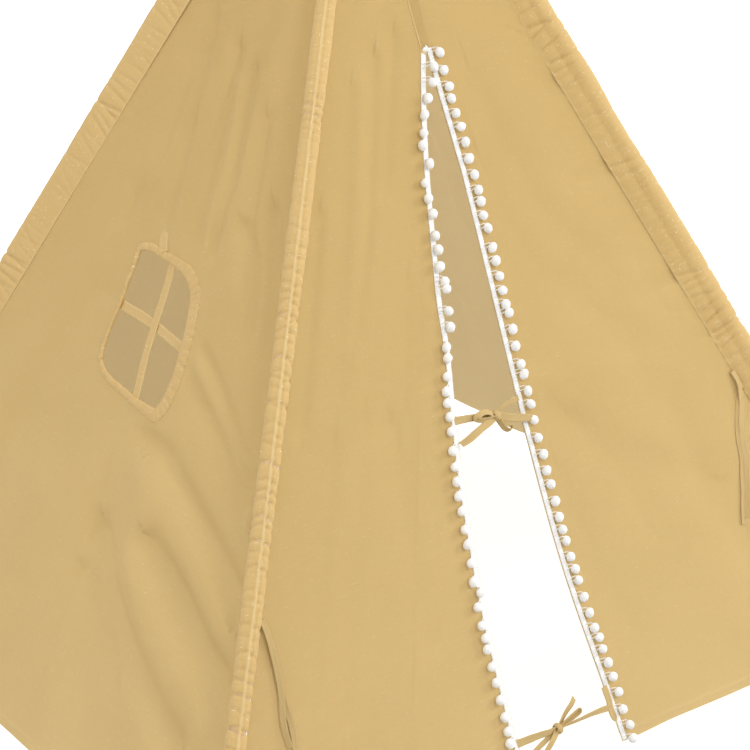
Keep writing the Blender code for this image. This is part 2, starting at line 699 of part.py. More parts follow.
def pompom(bm, side, height):
    """A yarn ball on the canvas beside the tape, with the thread neck that holds it there."""
    edge = door_edge(side, height)
    rest = CANVAS / 2 + POMPOM_RADIUS + FIT
    ball = FRONT.point(edge + side * (TRIM_TAPE_WIDTH + POMPOM_REACH), height, rest)
    hold = FRONT.point(edge + side * TRIM_TAPE_WIDTH / 2, height, TRIM_TAPE_THICKNESS / 4)
    reach = (hold - ball).length
    waist = sqrt(POMPOM_RADIUS ** 2 - POMPOM_NECK_RADIUS ** 2)
    profile = [(0, -POMPOM_RADIUS), (POMPOM_RADIUS * sin(pi / 3), -POMPOM_RADIUS / 2),
               (POMPOM_RADIUS * sin(pi / 3), POMPOM_RADIUS / 2), (POMPOM_NECK_RADIUS, waist),
               (POMPOM_NECK_RADIUS, reach), (0, reach)]
    one = turned(profile, 6)
    turn = Z.rotation_difference(hold - ball).to_matrix().to_4x4()
    bmesh.ops.transform(one, matrix=Matrix.Translation(ball) @ turn, verts=one.verts[:])
    mesh = bpy.data.meshes.new("pompom")
    one.to_mesh(mesh)
    one.free()
    bm.from_mesh(mesh)
    bpy.data.meshes.remove(mesh)


def window():
    """The window's binding, the cross sewn inside it and the strap end over it."""
    bm = bmesh.new()
    outside = CANVAS / 2 + TAPE / 2 + FIT
    loops = []
    for inset in (0, WINDOW_BINDING):
        verts = [bm.verts.new(LEFT.point(*place, outside)) for place in rounded_rectangle(inset)]
        loops += [bm.edges.new(pair) for pair in zip(verts, verts[1:] + verts[:1])]
    bmesh.ops.bridge_loops(bm, edges=loops)
    bmesh.ops.recalc_face_normals(bm, faces=bm.faces[:])
    thicken(add("window_binding", bm, CLOTH), TAPE)
    lap = WINDOW_BAR_LAP - WINDOW_BINDING
    slope = LEFT.normal.dot(LEFT.out)
    reach = (WINDOW_LENGTH / 2 + lap) * slope
    inside = -CANVAS / 2 - TAPE / 2 - FIT
    upright = bmesh.new()
    wall_ribbon(upright, LEFT, [(WINDOW_ALONG, WINDOW_HEIGHT + reach * k, inside)
                                for k in (-1, 0, 1)], WINDOW_BAR_WIDTH, TAPE)
    add("window_bar_upright", finish(upright), CLOTH)
    level = bmesh.new()
    half = WINDOW_WIDTH / 2 + lap
    wall_ribbon(level, LEFT, [(WINDOW_ALONG + half * k, WINDOW_HEIGHT, inside - TAPE - FIT)
                              for k in (-1, 0, 1)], WINDOW_BAR_WIDTH, TAPE)
    add("window_bar_level", finish(level), CLOTH)
    tab = bmesh.new()
    start = WINDOW_HEIGHT + (WINDOW_LENGTH / 2) * slope + TAPE
    wall_ribbon(tab, LEFT, [(WINDOW_ALONG, start + WINDOW_TAB_LENGTH * k, outside)
                            for k in (0, 1 / 2, 1)], BACK_TIE_WIDTH, TAPE)
    add("window_tab", finish(tab), CLOTH)


def square_to_edge(side, height, away):
    """A place at a distance into the doorway, square to the door's edge."""
    step = DOOR_TIE_WIDTH / 2
    run = Vector((door_edge(side, height + step) - door_edge(side, height - step), 2 * step))
    run.normalize()
    return door_edge(side, height) - side * run.y * away, height + side * run.x * away


# Each bow: the knot, where its two straps are sewn in tie widths above it, and its rising end,
# falling end and loop from the knot
BOW_SHARES = (
    ("upper", UPPER_BOW_HEIGHT, UPPER_BOW_REACH, 1.0, -1.5, (0.55, 0.85), (-0.60, -0.47), (0.64, -0.67)),
    ("lower", LOWER_BOW_HEIGHT, LOWER_BOW_REACH, -0.7, -0.6, (0.47, 0.82), (-0.51, -0.62), (0.91, 0.42)))
CURL_SHARES = ((0, 0), (0.5, 1), (1, 0.7), (1, -0.7), (0.5, -1), (0.05, -0.2))


def door_ties():
    """Two pairs of straps that close the door: the left ones end in the bow, the right ones meet it."""
    front = BOW_KNOT * BOW_BULGE_SHARE
    for word, height, reach, left_up, right_up, rise, fall, loop in BOW_SHARES:
        knot_along = DOOR_CENTRE - reach
        knot = bmesh.new()
        bmesh.ops.create_icosphere(knot, subdivisions=2, radius=BOW_KNOT)
        bmesh.ops.scale(knot, vec=BOW_KNOT_SHARES, verts=knot.verts[:])
        bmesh.ops.translate(knot, vec=FRONT.point(knot_along, height), verts=knot.verts[:])
        body = add(f"door_tie_{word}_left", knot, TIE_CLOTH)

        def place(way, share, size=BOW_END, offset=0.0):
            return knot_along + way[0] * size * share, height + way[1] * size * share, offset

        sewn = [(*square_to_edge(-1, height + left_up * DOOR_TIE_WIDTH, away), 0)
                for away in (FIT, DOOR_TIE_WIDTH / 2)]
        strap = sewn + [place((0, 0), 0)]
        arc = ((0, 0), (1 / 2, front), (1, front / 2))
        rising = [place(rise, share, offset=lift) for share, lift in arc]
        falling = [place(fall, share, offset=lift) for share, lift in arc]
        side = (loop[1] * LOOP_SPREAD_SHARE, -loop[0] * LOOP_SPREAD_SHARE)
        curl = [place((loop[0] * ahead + side[0] * swing, loop[1] * ahead + side[1] * swing), 1,
                      BOW_LOOP, front * LOOP_LIFT_SHARE) for ahead, swing in CURL_SHARES]
        for name, band, flat in (("strap", strap, True), ("rising", rising, True),
                                 ("falling", falling, True), ("curl", curl, False)):
            bm = bmesh.new()
            width = DOOR_TIE_WIDTH if flat else DOOR_TIE_WIDTH * LOOP_WIDTH_SHARE
            wall_ribbon(bm, FRONT, band, width, TAPE, flat)
            cut(body, add(f"{word}_{name}_guide", finish(bm), TIE_CLOTH), "UNION")
        right = bmesh.new()
        sewn = [(*square_to_edge(1, height + right_up * DOOR_TIE_WIDTH, away), 0)
                for away in (DOOR_TIE_WIDTH / 2, FIT)]
        near = knot_along + BOW_KNOT + 2 * FIT
        wall_ribbon(right, FRONT, [(near, height, -front / 2), *sewn], DOOR_TIE_WIDTH, TAPE)
        add(f"door_tie_{word}_right", finish(right), TIE_CLOTH)


# Each tie-back's tails: (sideways, down) from its tack, as shares of how far they drop
LEFT_TAIL_SHARES = ((0.03, 0.32), (0, 0.66), (-0.03, 1))
RIGHT_TAIL_SHARES = ((-0.05, 0.25), (-0.10, 0.53), (-0.16, 0.78), (-0.23, 1))


def back_ties():
    """The straps that hold the folded flaps open: two tails each from one tack by the sleeve."""
    lies = CANVAS / 2 + TACK_THICKNESS / 2 + FIT
    for word, pole, top, drop, tail_shares in (
            ("left", FRONT_LEFT, TIE_BACK_LEFT_HEIGHT, TIE_BACK_LEFT_DROP, LEFT_TAIL_SHARES),
            ("right", FRONT_RIGHT, TIE_BACK_RIGHT_HEIGHT, TIE_BACK_RIGHT_DROP, RIGHT_TAIL_SHARES)):
        inwards = 1 if pole is FRONT_LEFT else -1
        lean = abs(pole.up.x / pole.up.z) * BACK_TIE_WIDTH / 2
        edge = FRONT.edge(pole, top) + inwards * (BACK_TIE_WIDTH + lean + FIT)
        tack = bmesh.new()
        wall_ribbon(tack, FRONT, [(edge, top + BACK_TIE_WIDTH / 2, lies), (edge, top, lies),
                                  (edge, top - BACK_TIE_WIDTH / 2, lies)],
                    2 * BACK_TIE_WIDTH, TACK_THICKNESS)
        body = add(f"tie_back_{word}", finish(tack), TIE_CLOTH)
        for strand in (-1, 1):
            start = edge + strand * (BACK_TIE_WIDTH / 2 - TAPE)
            shorter = BACK_TIE_WIDTH if strand > 0 else 0
            spread = strand * 2 * TAPE
            places = [(start, top, lies)] + [
                (start + spread + drop * sideways, top - drop * down + shorter, lies)
                for sideways, down in tail_shares]
            bm = bmesh.new()
            wall_ribbon(bm, FRONT, places, BACK_TIE_WIDTH - 2 * TAPE, TAPE)
            guide = add(f"tie_back_{word}_{strand + 1}_guide", finish(bm), TIE_CLOTH)
            cut(body, guide, "UNION")


poles()
sleeves()
lashing()
walls()
front_panels()
door_trim()
window()
door_ties()
back_ties()
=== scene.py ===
"""A kids' teepee as it looks: pine poles under a rope lashing, in a mustard canvas cover with
pole casings, a barred window and a tie-up door edged with pom-poms. Metres, +Z up, door to -Y."""
import json
import random
from bisect import bisect_right
from functools import partial
from math import acos, atan2, copysign, cos, exp, pi, sin, sqrt, tan

import bmesh
import bpy
from mathutils import Matrix, Vector, noise


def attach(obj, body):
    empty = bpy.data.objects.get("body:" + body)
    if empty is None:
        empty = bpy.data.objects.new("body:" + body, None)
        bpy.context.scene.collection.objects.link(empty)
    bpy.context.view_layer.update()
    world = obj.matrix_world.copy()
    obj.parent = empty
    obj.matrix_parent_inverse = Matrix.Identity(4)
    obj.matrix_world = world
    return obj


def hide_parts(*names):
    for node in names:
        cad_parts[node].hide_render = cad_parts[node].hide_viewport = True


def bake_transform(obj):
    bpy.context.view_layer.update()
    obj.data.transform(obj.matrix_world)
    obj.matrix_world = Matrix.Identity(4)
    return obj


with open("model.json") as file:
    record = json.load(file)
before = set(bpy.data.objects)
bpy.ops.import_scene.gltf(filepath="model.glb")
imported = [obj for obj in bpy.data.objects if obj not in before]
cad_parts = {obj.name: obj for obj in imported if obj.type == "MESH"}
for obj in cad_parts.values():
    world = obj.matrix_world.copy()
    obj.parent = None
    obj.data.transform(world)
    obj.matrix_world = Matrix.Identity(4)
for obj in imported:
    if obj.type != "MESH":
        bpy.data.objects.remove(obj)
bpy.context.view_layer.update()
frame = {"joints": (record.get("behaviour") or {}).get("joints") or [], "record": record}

# Poles. Four bare pine dowels, 22 mm thick and 1.85 m long, each turned in two sections so that
# the tent packs short. Their feet stand in the corners and their tops cross under the lashing.
DOWEL_RADIUS = 0.011
DOWEL_LENGTH = 1.85
DOWEL_CHAMFER = 0.001
DOWEL_TIP_ROUND = 0.005
DOWEL_SIDES = 40
TIP_STEPS = 8
ROPE_HOLE_RADIUS = 0.0034
DRILL_SIDES = 24
FERRULE_LENGTH = 0.09
FERRULE_WALL = 0.0009
SOLE_THICKNESS = 0.003
CLEARANCE = 0.0003
TINY = 1e-9
Z = Vector((0, 0, 1))


class Value:
    """A shader socket that takes part in sums: each operator adds its Math node."""

    def __init__(self, nodes, socket):
        self.nodes, self.socket = nodes, socket

    def math(self, operation, first, second):
        return self.nodes.node("Math", {"operation": operation}, {0: first, 1: second})

    def __add__(self, other):
        return self.math("ADD", self, other)

    def __sub__(self, other):
        return self.math("SUBTRACT", self, other)

    def __rsub__(self, other):
        return self.math("SUBTRACT", other, self)

    def __mul__(self, other):
        return self.math("MULTIPLY", self, other)

    __radd__ = __add__
    __rmul__ = __mul__

    def out(self, name):
        """Another output of the same node."""
        return Value(self.nodes, self.socket.node.outputs[name])


class Nodes:
    """A tree of nodes; each node is made from a type, its settings and its sockets."""

    def __init__(self, tree):
        self.tree = tree

    def plug(self, node, sockets):
        for name, value in sockets.items():
            if isinstance(value, Value):
                self.tree.links.new(value.socket, node.inputs[name])
            else:
                node.inputs[name].default_value = value

    def node(self, kind, settings=None, sockets=None, out=0):
        made = self.tree.nodes.new("ShaderNode" + kind)
        for name, value in (settings or {}).items():
            setattr(made, name, value)
        self.plug(made, sockets or {})
        return Value(self, made.outputs[out])


class Finish(Nodes):
    """A material of the tent, and the record's slot that it belongs to."""

    def __init__(self, name, slot=None):
        self.material = bpy.data.materials.new(name)
        self.material.use_nodes = True
        super().__init__(self.material.node_tree)
        self.shader = self.tree.nodes["Principled BSDF"]
        self.slot = slot

    def on_pole(self):
        """Places across and along a pole, from its foot."""
        return self.node("Attribute", {"attribute_name": "on_pole"}, out="Vector")

    def on_cloth(self):
        """Places on the flat cloth, in metres."""
        return self.node("UVMap", {"uv_map": "cloth"})

    def in_space(self):
        return self.node("TexCoord", out="Object")

    def stretched(self, place, scale, turn=0.0):
        return self.node("Mapping", None, {"Vector": place, "Scale": scale, "Rotation": (0, 0, turn)})

    def grain(self, place, scale, detail):
        return self.node("TexNoise", None, {"Vector": place, "Scale": scale, "Detail": detail})

    def streaks(self, place, scale, detail=3, turn=0.0):
        """Grain that is finer along some axes than along others."""
        return self.grain(self.stretched(place, scale, turn), 1.0, detail)

    def step(self, value, low, high):
        return self.node("MapRange", {"interpolation_type": "SMOOTHSTEP"},
                         {"Value": value, "From Min": low, "From Max": high})

    def mix(self, share, one, two):
        return self.node("Mix", {"data_type": "RGBA"}, {0: share, 6: one, 7: two}, out=2)

    def paint(self, **sockets):
        """Set the shader's sockets, with their names' spaces as underscores."""
        self.plug(self.shader, {name.replace("_", " "): value for name, value in sockets.items()})

    def relief(self, height, depth, strength=1.0):
        """Raise the surface by a height from 0 to 1 times a depth in metres."""
        bump = self.node("Bump", None, {"Height": height, "Distance": depth, "Strength": strength})
        self.paint(Normal=bump)


class Pole:
    """A pole's place, read from its sole's mount and the joint that it folds about."""

    def __init__(self, name):
        mount = next(m for m in frame["record"]["mounts"] if m["name"] == name + "_sole")
        joint = next(j for j in frame["joints"] if j["name"] == "fold_" + name)
        self.name, self.body = name, "pole_" + name
        self.foot = Vector(mount["pos_m"])
        self.side = Vector(joint["axis"]).normalized()
        self.crossing_height = joint["pos_m"][2]
        self.offset = self.foot.dot(self.side)
        crossing = self.side * self.offset + Z * self.crossing_height
        self.up = (crossing - self.foot).normalized()
        self.reach = (crossing - self.foot).length
        self.out = self.side.cross(self.up)
        self.lean = acos(self.up.z)

    def at(self, height):
        return self.foot + self.up * (height / self.up.z)

    def seat(self, bm):
        """Lay a shape made along Z on the pole, and keep its old place for its grain."""
        place = bm.verts.layers.float_vector.new("on_pole")
        axes = Matrix((self.out, self.side, self.up)).transposed()
        for vert in bm.verts:
            vert[place] = vert.co
            vert.co = self.foot + axes @ vert.co
        return bm


def keep(name, bm, finish, body=None, stands_for=None, smooth=pi / 6):
    """Make a shape one of the tent's pieces, on its body and in place of its CAD node."""
    mesh = bpy.data.meshes.new(name)
    bm.edges.index_update()
    borders = [edge.index for edge in bm.edges if edge.is_boundary]
    bm.to_mesh(mesh)
    bm.free()
    mesh.materials.append(finish.material)
    mesh.shade_smooth()
    mesh.set_sharp_from_angle(angle=smooth)
    for border in borders:
        mesh.edges[border].use_edge_sharp = True
    made = bpy.data.objects.new(name, mesh)
    bpy.context.scene.collection.objects.link(made)
    if body:
        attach(made, body)
    if stands_for:
        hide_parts(stands_for)
    return made


def close_up(bm, ends=False):
    """Join the points that meet, fill open ends where asked, and turn all faces outwards."""
    bmesh.ops.remove_doubles(bm, verts=bm.verts[:], dist=CLEARANCE / 30)
    if ends:
        bmesh.ops.holes_fill(bm, edges=[e for e in bm.edges if e.is_boundary], sides=0)
    bmesh.ops.recalc_face_normals(bm, faces=bm.faces[:])
    return bm


def turned(profile, sides, closed=False):
    """Revolve a profile of (radius, height) about Z; a closed profile makes a tube."""
    bm = bmesh.new()
    rim = [bm.verts.new((radius, 0, height)) for radius, height in profile]
    edges = [bm.edges.new(pair) for pair in zip(rim, rim[1:])]
    if closed:
        edges.append(bm.edges.new((rim[-1], rim[0])))
    bmesh.ops.spin(bm, geom=rim + edges, cent=(0, 0, 0), axis=(0, 0, 1), angle=2 * pi,
                   steps=sides, use_merge=True)
    return close_up(bm)


def pine():
    """Planed softwood: growth rings that run out along the dowel, pores, a few small knots."""
    wood = Finish("bare_pine", "pine")
    place = wood.on_pole()
    warp = wood.streaks(place, (30, 30, 2.2))
    across = wood.node("SeparateXYZ", None, {"Vector": place})
    sheet = across * 900 + across.out("Z") * 9 + warp * 14
    rings = wood.node("Math", {"operation": "SINE"}, {0: sheet}) * 0.5 + 0.5
    pores = wood.streaks(place, (1500, 1500, 45), 2)
    cloud = wood.grain(place, 9.0, 2)
    knot = wood.node("TexVoronoi", None, {"Vector": wood.stretched(place, (22, 22, 4.5)), "Scale": 1.0})
    dark = 1 - wood.step(knot, 0.05, 0.16)
    tone = rings * 0.55 + cloud * 0.35 + pores * 0.25 - 0.1
    colour = wood.mix(tone, (0.72, 0.52, 0.30, 1), (0.55, 0.35, 0.17, 1))
    colour = wood.mix(dark * 0.75, colour, (0.26, 0.13, 0.06, 1))
    wood.paint(Base_Color=colour, Roughness=0.48 + pores * 0.22)
    wood.relief(pores * 0.7 + rings * 0.3, 0.00025, 0.6)
    return wood


def carve(made, cutter):
    """Take a cutter out of a finished piece for good, and remove the cutter."""
    step = made.modifiers.new("carve", "BOOLEAN")
    step.operation = "DIFFERENCE"
    step.solver = "EXACT"
    step.object = cutter
    bpy.context.view_layer.update()
    cut = bpy.data.meshes.new_from_object(made.evaluated_get(bpy.context.evaluated_depsgraph_get()))
    made.modifiers.remove(step)
    made.data = cut
    bpy.data.objects.remove(cutter)


POLES = {name: Pole(name) for name in ("front_left", "front_right", "back_right", "back_left")}
LEAN = POLES["front_left"].lean
FOOT_START = DOWEL_RADIUS * tan(LEAN) + SOLE_THICKNESS
PINE = pine()
for name, pole in POLES.items():
    joint, half = DOWEL_LENGTH / 2, FERRULE_LENGTH / 2
    tenon = DOWEL_RADIUS - FERRULE_WALL
    lower = turned([
        (0, FOOT_START), (DOWEL_RADIUS - DOWEL_CHAMFER, FOOT_START),
        (DOWEL_RADIUS, FOOT_START + DOWEL_CHAMFER), (DOWEL_RADIUS, joint - half),
        (tenon, joint - half), (tenon, joint - CLEARANCE), (0, joint - CLEARANCE)], DOWEL_SIDES)
    keep(name + "_lower_dowel", pole.seat(lower), PINE, pole.body, name + "_lower_pole")
    tip = [(DOWEL_RADIUS - DOWEL_TIP_ROUND * (1 - cos(a)), DOWEL_LENGTH - DOWEL_TIP_ROUND * (1 - sin(a)))
           for a in (pi / 2 * k / TIP_STEPS for k in range(TIP_STEPS + 1))]
    upper = turned([
        (0, joint + CLEARANCE), (tenon, joint + CLEARANCE), (tenon, joint + half),
        (DOWEL_RADIUS, joint + half), *tip, (0, DOWEL_LENGTH)], DOWEL_SIDES)
    dowel = keep(name + "_upper_dowel", pole.seat(upper), PINE)
    drill = bmesh.new()
    bmesh.ops.create_cone(drill, segments=DRILL_SIDES, radius1=ROPE_HOLE_RADIUS,
                          radius2=ROPE_HOLE_RADIUS, depth=4 * DOWEL_RADIUS, cap_ends=True)
    bmesh.ops.rotate(drill, matrix=Z.rotation_difference(pole.side).to_matrix(), verts=drill.verts[:])
    bmesh.ops.translate(drill, vec=pole.at(pole.crossing_height), verts=drill.verts[:])
    carve(dowel, keep("drill", drill, PINE))
    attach(dowel, pole.body)
    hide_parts(name + "_upper_pole")

# Ferrules. A thin drawn-aluminium tube joins each pole's two sections. It is pressed on to the
# lower tenon and held by a rolled crimp at the middle, and the upper section slides in.
CRIMP_DEPTH = 0.0004
CRIMP_WIDTH = 0.004
CRIMP_STEPS = 6


def drawn_metal():
    """Drawn tube: long die lines, finer scratches round it and duller smudges."""
    metal = Finish("drawn_aluminium", "ferrule_metal")
    place = metal.on_pole()
    lines = metal.streaks(place, (2200, 2200, 30))
    rubs = metal.streaks(place, (60, 60, 1500), 2)
    smudge = metal.grain(place, 70, 3)
    metal.paint(Base_Color=metal.mix(smudge, (0.66, 0.66, 0.65, 1), (0.80, 0.80, 0.79, 1)),
                Roughness=0.24 + lines * 0.16 + smudge * 0.12, Metallic=1.0)
    metal.relief(lines * 0.6 + rubs * 0.4, 0.00008, 0.5)
    return metal


ALUMINIUM = drawn_metal()
for name, pole in POLES.items():
    middle, half = DOWEL_LENGTH / 2, FERRULE_LENGTH / 2 - CLEARANCE
    bore = DOWEL_RADIUS - FERRULE_WALL + CLEARANCE
    shell = bore + FERRULE_WALL
    lip = FERRULE_WALL / 3
    crimp = [(shell - CRIMP_DEPTH * (1 + cos(pi * k / CRIMP_STEPS)) / 2,
              middle + CRIMP_WIDTH * k / CRIMP_STEPS) for k in range(-CRIMP_STEPS, CRIMP_STEPS + 1)]
    tube = turned([
        (bore, middle - half), (shell - lip, middle - half), (shell, middle - half + lip), *crimp,
        (shell, middle + half - lip), (shell - lip, middle + half), (bore, middle + half)],
        DOWEL_SIDES, closed=True)
    keep(name + "_ferrule_tube", pole.seat(tube), ALUMINIUM, pole.body, name + "_ferrule")

# Feet. A moulded rubber cup is pushed on each pole's end. It has three grip ribs, and its sole
# is cut at the pole's lean, so that it stands flat on the floor.
FOOT_WALL = 0.0024
FOOT_HEIGHT = 0.03
FOOT_RIB = 0.0012
FOOT_RIB_COUNT = 3
RIB_STEPS = 8


def rubber():
    """Matt black moulding with a fine orange-peel skin and patches of dust."""
    skin = Finish("moulded_rubber", "foot_rubber")
    place = skin.on_pole()
    peel = skin.grain(place, 1400, 2)
    dust = skin.step(skin.grain(place, 160, 4), 0.5, 0.8)
    skin.paint(Base_Color=skin.mix(dust * 0.5, (0.028, 0.027, 0.026, 1), (0.11, 0.10, 0.09, 1)),
               Roughness=0.62 + dust * 0.25)
    skin.relief(peel, 0.00012, 0.5)
    return skin


RUBBER = rubber()
for name, pole in POLES.items():
    cup = DOWEL_RADIUS + CLEARANCE
    rim = cup + FOOT_WALL
    pitch = (FOOT_HEIGHT - FOOT_START) / (FOOT_RIB_COUNT + 1)
    ribs = [(rim + FOOT_RIB * sin(pi * (k % RIB_STEPS) / RIB_STEPS) ** 0.6,
             FOOT_START + pitch * (0.5 + k / RIB_STEPS)) for k in range(RIB_STEPS * FOOT_RIB_COUNT + 1)]
    foot = turned([
        (0, -rim), (rim, -rim), (rim, FOOT_START), *ribs, (rim, FOOT_HEIGHT - FOOT_WALL / 3),
        (rim - FOOT_WALL / 3, FOOT_HEIGHT), (cup, FOOT_HEIGHT), (cup, FOOT_START - CLEARANCE),
        (0, FOOT_START - CLEARANCE)], DOWEL_SIDES)
    bmesh.ops.bisect_plane(foot, geom=foot.verts[:] + foot.edges[:] + foot.faces[:],
                           plane_co=(0, 0, 0), plane_no=(sin(LEAN), 0, cos(LEAN)), clear_inner=True)
    bmesh.ops.holes_fill(foot, edges=[e for e in foot.edges if e.is_boundary], sides=0)
    bmesh.ops.recalc_face_normals(foot, faces=foot.faces[:])
    keep(name + "_rubber_foot", pole.seat(foot), RUBBER, pole.body, name + "_foot")

# Lashing. One soft three-strand cotton rope, 5 mm thick, runs through a hole in each pole and
# round their outer sides. It is closed in front by a knot with two short tails.
ROPE_RADIUS = 0.0025
ROPE_RING_RADIUS = 0.042
ROPE_LAY = 0.016
ROPE_STRANDS = 3
STRAND_SHARE = 0.54
STRAND_SIDES = 10
STEPS_IN_LAY = 9
ROPE_TAIL = 0.03
TAIL_SHARE = 0.92
KNOT_SCALE = 0.0019
KNOT_STEPS = 18
# Places in a drilled hole, from its pole's outer side to its inner one, in pole radii
HOLE_SHARES = (1.3, 0.8, 0, -0.9)


def glide(before, here, after, later, s):
    """The place at share s of a smooth line from here to after, between two more places."""
    return 0.5 * (2 * here + (after - before) * s + (2 * before - 5 * here + 4 * after - later) * s * s
                  + (3 * here - before - 3 * after + later) * s ** 3)


class Route:
    """A smooth line through given points, with a frame that turns no more than it must."""

    def __init__(self, points, steps=8):
        self.places = []
        count = len(points)
        for k in range(count - 1):
            marks = points[max(0, k - 1)], points[k], points[k + 1], points[min(count - 1, k + 2)]
            self.places += [glide(*marks, step / steps) for step in range(steps)]
        self.places.append(points[-1])
        last = len(self.places) - 1
        self.ahead = [(self.places[min(k + 1, last)] - self.places[max(k - 1, 0)]).normalized()
                      for k in range(last + 1)]
        side = self.ahead[0].orthogonal().normalized()
        self.sides, self.travelled = [], [0.0]
        for ahead in self.ahead:
            side = (side - ahead * side.dot(ahead)).normalized()
            self.sides.append(side)
        for one, two in zip(self.places, self.places[1:]):
            self.travelled.append(self.travelled[-1] + (two - one).length)
        self.length = self.travelled[-1]

    def frame(self, share):
        """Place, direction and side at a share of the length."""
        goal = share * self.length
        k = bisect_right(self.travelled, goal + TINY, 0, len(self.travelled) - 1) - 1
        s = (goal - self.travelled[k]) / max(TINY, self.travelled[k + 1] - self.travelled[k])
        ahead = self.ahead[k].lerp(self.ahead[k + 1], s).normalized()
        side = self.sides[k].lerp(self.sides[k + 1], s)
        side = (side - ahead * side.dot(ahead)).normalized()
        return self.places[k].lerp(self.places[k + 1], s), ahead, side


def skin(columns, rows, place, wrap=False, mark=None):
    """A sheet of columns by rows cells laid out by place(across share, along share), which gives
    a point, its cloth coordinates in metres and, with a mark, that mark's value there. With wrap,
    its two sides are joined and its ends filled."""
    bm = bmesh.new()
    bmesh.ops.create_grid(bm, x_segments=columns, y_segments=rows, size=1)
    cloth = bm.loops.layers.uv.new("cloth")
    layer = bm.verts.layers.float.new(mark) if mark else None
    spots = {vert: place((vert.co.x + 1) / 2, (vert.co.y + 1) / 2) for vert in bm.verts}
    for face in bm.faces:
        for loop in face.loops:
            loop[cloth].uv = spots[loop.vert][1]
    for vert, spot in spots.items():
        vert.co = spot[0]
        if mark:
            vert[layer] = spot[2]
    return close_up(bm, ends=True) if wrap else bm


def join(target, part):
    """Add one shape to another as it lies."""
    mesh = bpy.data.meshes.new("part")
    part.to_mesh(mesh)
    part.free()
    target.from_mesh(mesh)
    bpy.data.meshes.remove(mesh)


def laid_rope(bm, route, radius=ROPE_RADIUS):
    """Twist strands about a route, a full turn in each lay length."""
    strand = radius * STRAND_SHARE

    for k in range(ROPE_STRANDS):
        def place(around, share):
            middle, ahead, side = route.frame(share)
            lift = ahead.cross(side)
            turn = 2 * pi * (route.length * share / ROPE_LAY + k / ROPE_STRANDS)
            core = middle + (side * cos(turn) + lift * sin(turn)) * (radius - strand)
            angle = 2 * pi * around
            return (core + (side * cos(angle) + lift * sin(angle)) * strand,
                    (route.length * share, radius * angle))

        rows = max(4, round(route.length / (ROPE_LAY / STEPS_IN_LAY)))
        join(bm, skin(STRAND_SIDES, rows, place, wrap=True))


def cotton():
    """Undyed cotton yarn: fine fibres along each strand, soft and dry."""
    yarn = Finish("natural_cotton", "cotton_rope")
    fibres = yarn.streaks(yarn.on_cloth(), (500, 5200, 1), turn=0.5)
    fluff = yarn.grain(yarn.in_space(), 900, 3)
    tone = fibres * 0.6 + fluff * 0.4
    yarn.paint(Base_Color=yarn.mix(tone, (0.62, 0.54, 0.40, 1), (0.90, 0.85, 0.74, 1)),
               Roughness=0.86 + fluff * 0.12, Sheen_Weight=0.2)
    yarn.relief(tone, 0.0004, 0.7)
    return yarn


COTTON = cotton()
CROSSING = POLES["front_left"].crossing_height
POLE_OFFSET = POLES["front_left"].offset
knot_at = Vector((0, -ROPE_RING_RADIUS, CROSSING))


def ring(angle):
    return Vector((cos(angle), sin(angle), 0)) * ROPE_RING_RADIUS + Z * CROSSING


def hole(name, sides):
    """Places along a pole's drilled hole: sides is -1 inside, 0 middle, 1 outside."""
    return POLES[name].side * (POLE_OFFSET + sides * DOWEL_RADIUS) + Z * CROSSING


def through(first, second, turn):
    """The rope's way in through one pole's hole, back about a turn and out through the next."""
    inwards = [hole(first, share) for share in HOLE_SHARES]
    outwards = [hole(second, share) for share in reversed(HOLE_SHARES)]
    return [*inwards, Vector((turn, 0, CROSSING)), *outwards]


def overhand(angle):
    """A place on the knot, at an angle round the closed line that an overhand knot follows."""
    return Vector((sin(angle) + 2 * sin(2 * angle), -sin(3 * angle) * 1.2,
                   cos(angle) - 2 * cos(2 * angle))) * KNOT_SCALE + knot_at


turn_in = POLE_OFFSET - DOWEL_RADIUS - ROPE_RADIUS
swing = (pi / 2 - atan2(POLES["front_right"].side.y, POLES["front_right"].side.x)) / 3
beside_knot = Vector((ROPE_RADIUS, 0, 0))
rope_points = [
    knot_at + beside_knot, ring(-pi / 2 + 1.2 * swing), ring(-pi / 2 + 2 * swing),
    *through("front_left", "front_right", turn_in),
    *(ring(pi / 2 + swing * k) for k in (-2, -1, 0, 1, 2)),
    *through("back_right", "back_left", -turn_in),
    ring(-pi / 2 - 2 * swing), ring(-pi / 2 - 1.2 * swing), knot_at - beside_knot]
rope = bmesh.new()
laid_rope(rope, Route(rope_points))
keep("lashing_cotton_rope", rope, COTTON, "crown", "lashing_rope", smooth=pi / 2)
knot = bmesh.new()
laid_rope(knot, Route([overhand(2 * pi * k / KNOT_STEPS) for k in range(KNOT_STEPS + 1)]))
for side in (-1, 1):
    drop = Vector((side * 0.4, -0.35, -1)).normalized()
    bulge = Vector((side, 0, 0)) * ROPE_RADIUS / 2
    tail = [knot_at, knot_at + drop * ROPE_TAIL / 2 + bulge, knot_at + drop * ROPE_TAIL]
    laid_rope(knot, Route(tail), ROPE_RADIUS * TAIL_SHARE)
keep("lashing_overhand_knot", knot, COTTON, "crown", "lashing_knot", smooth=pi / 2)

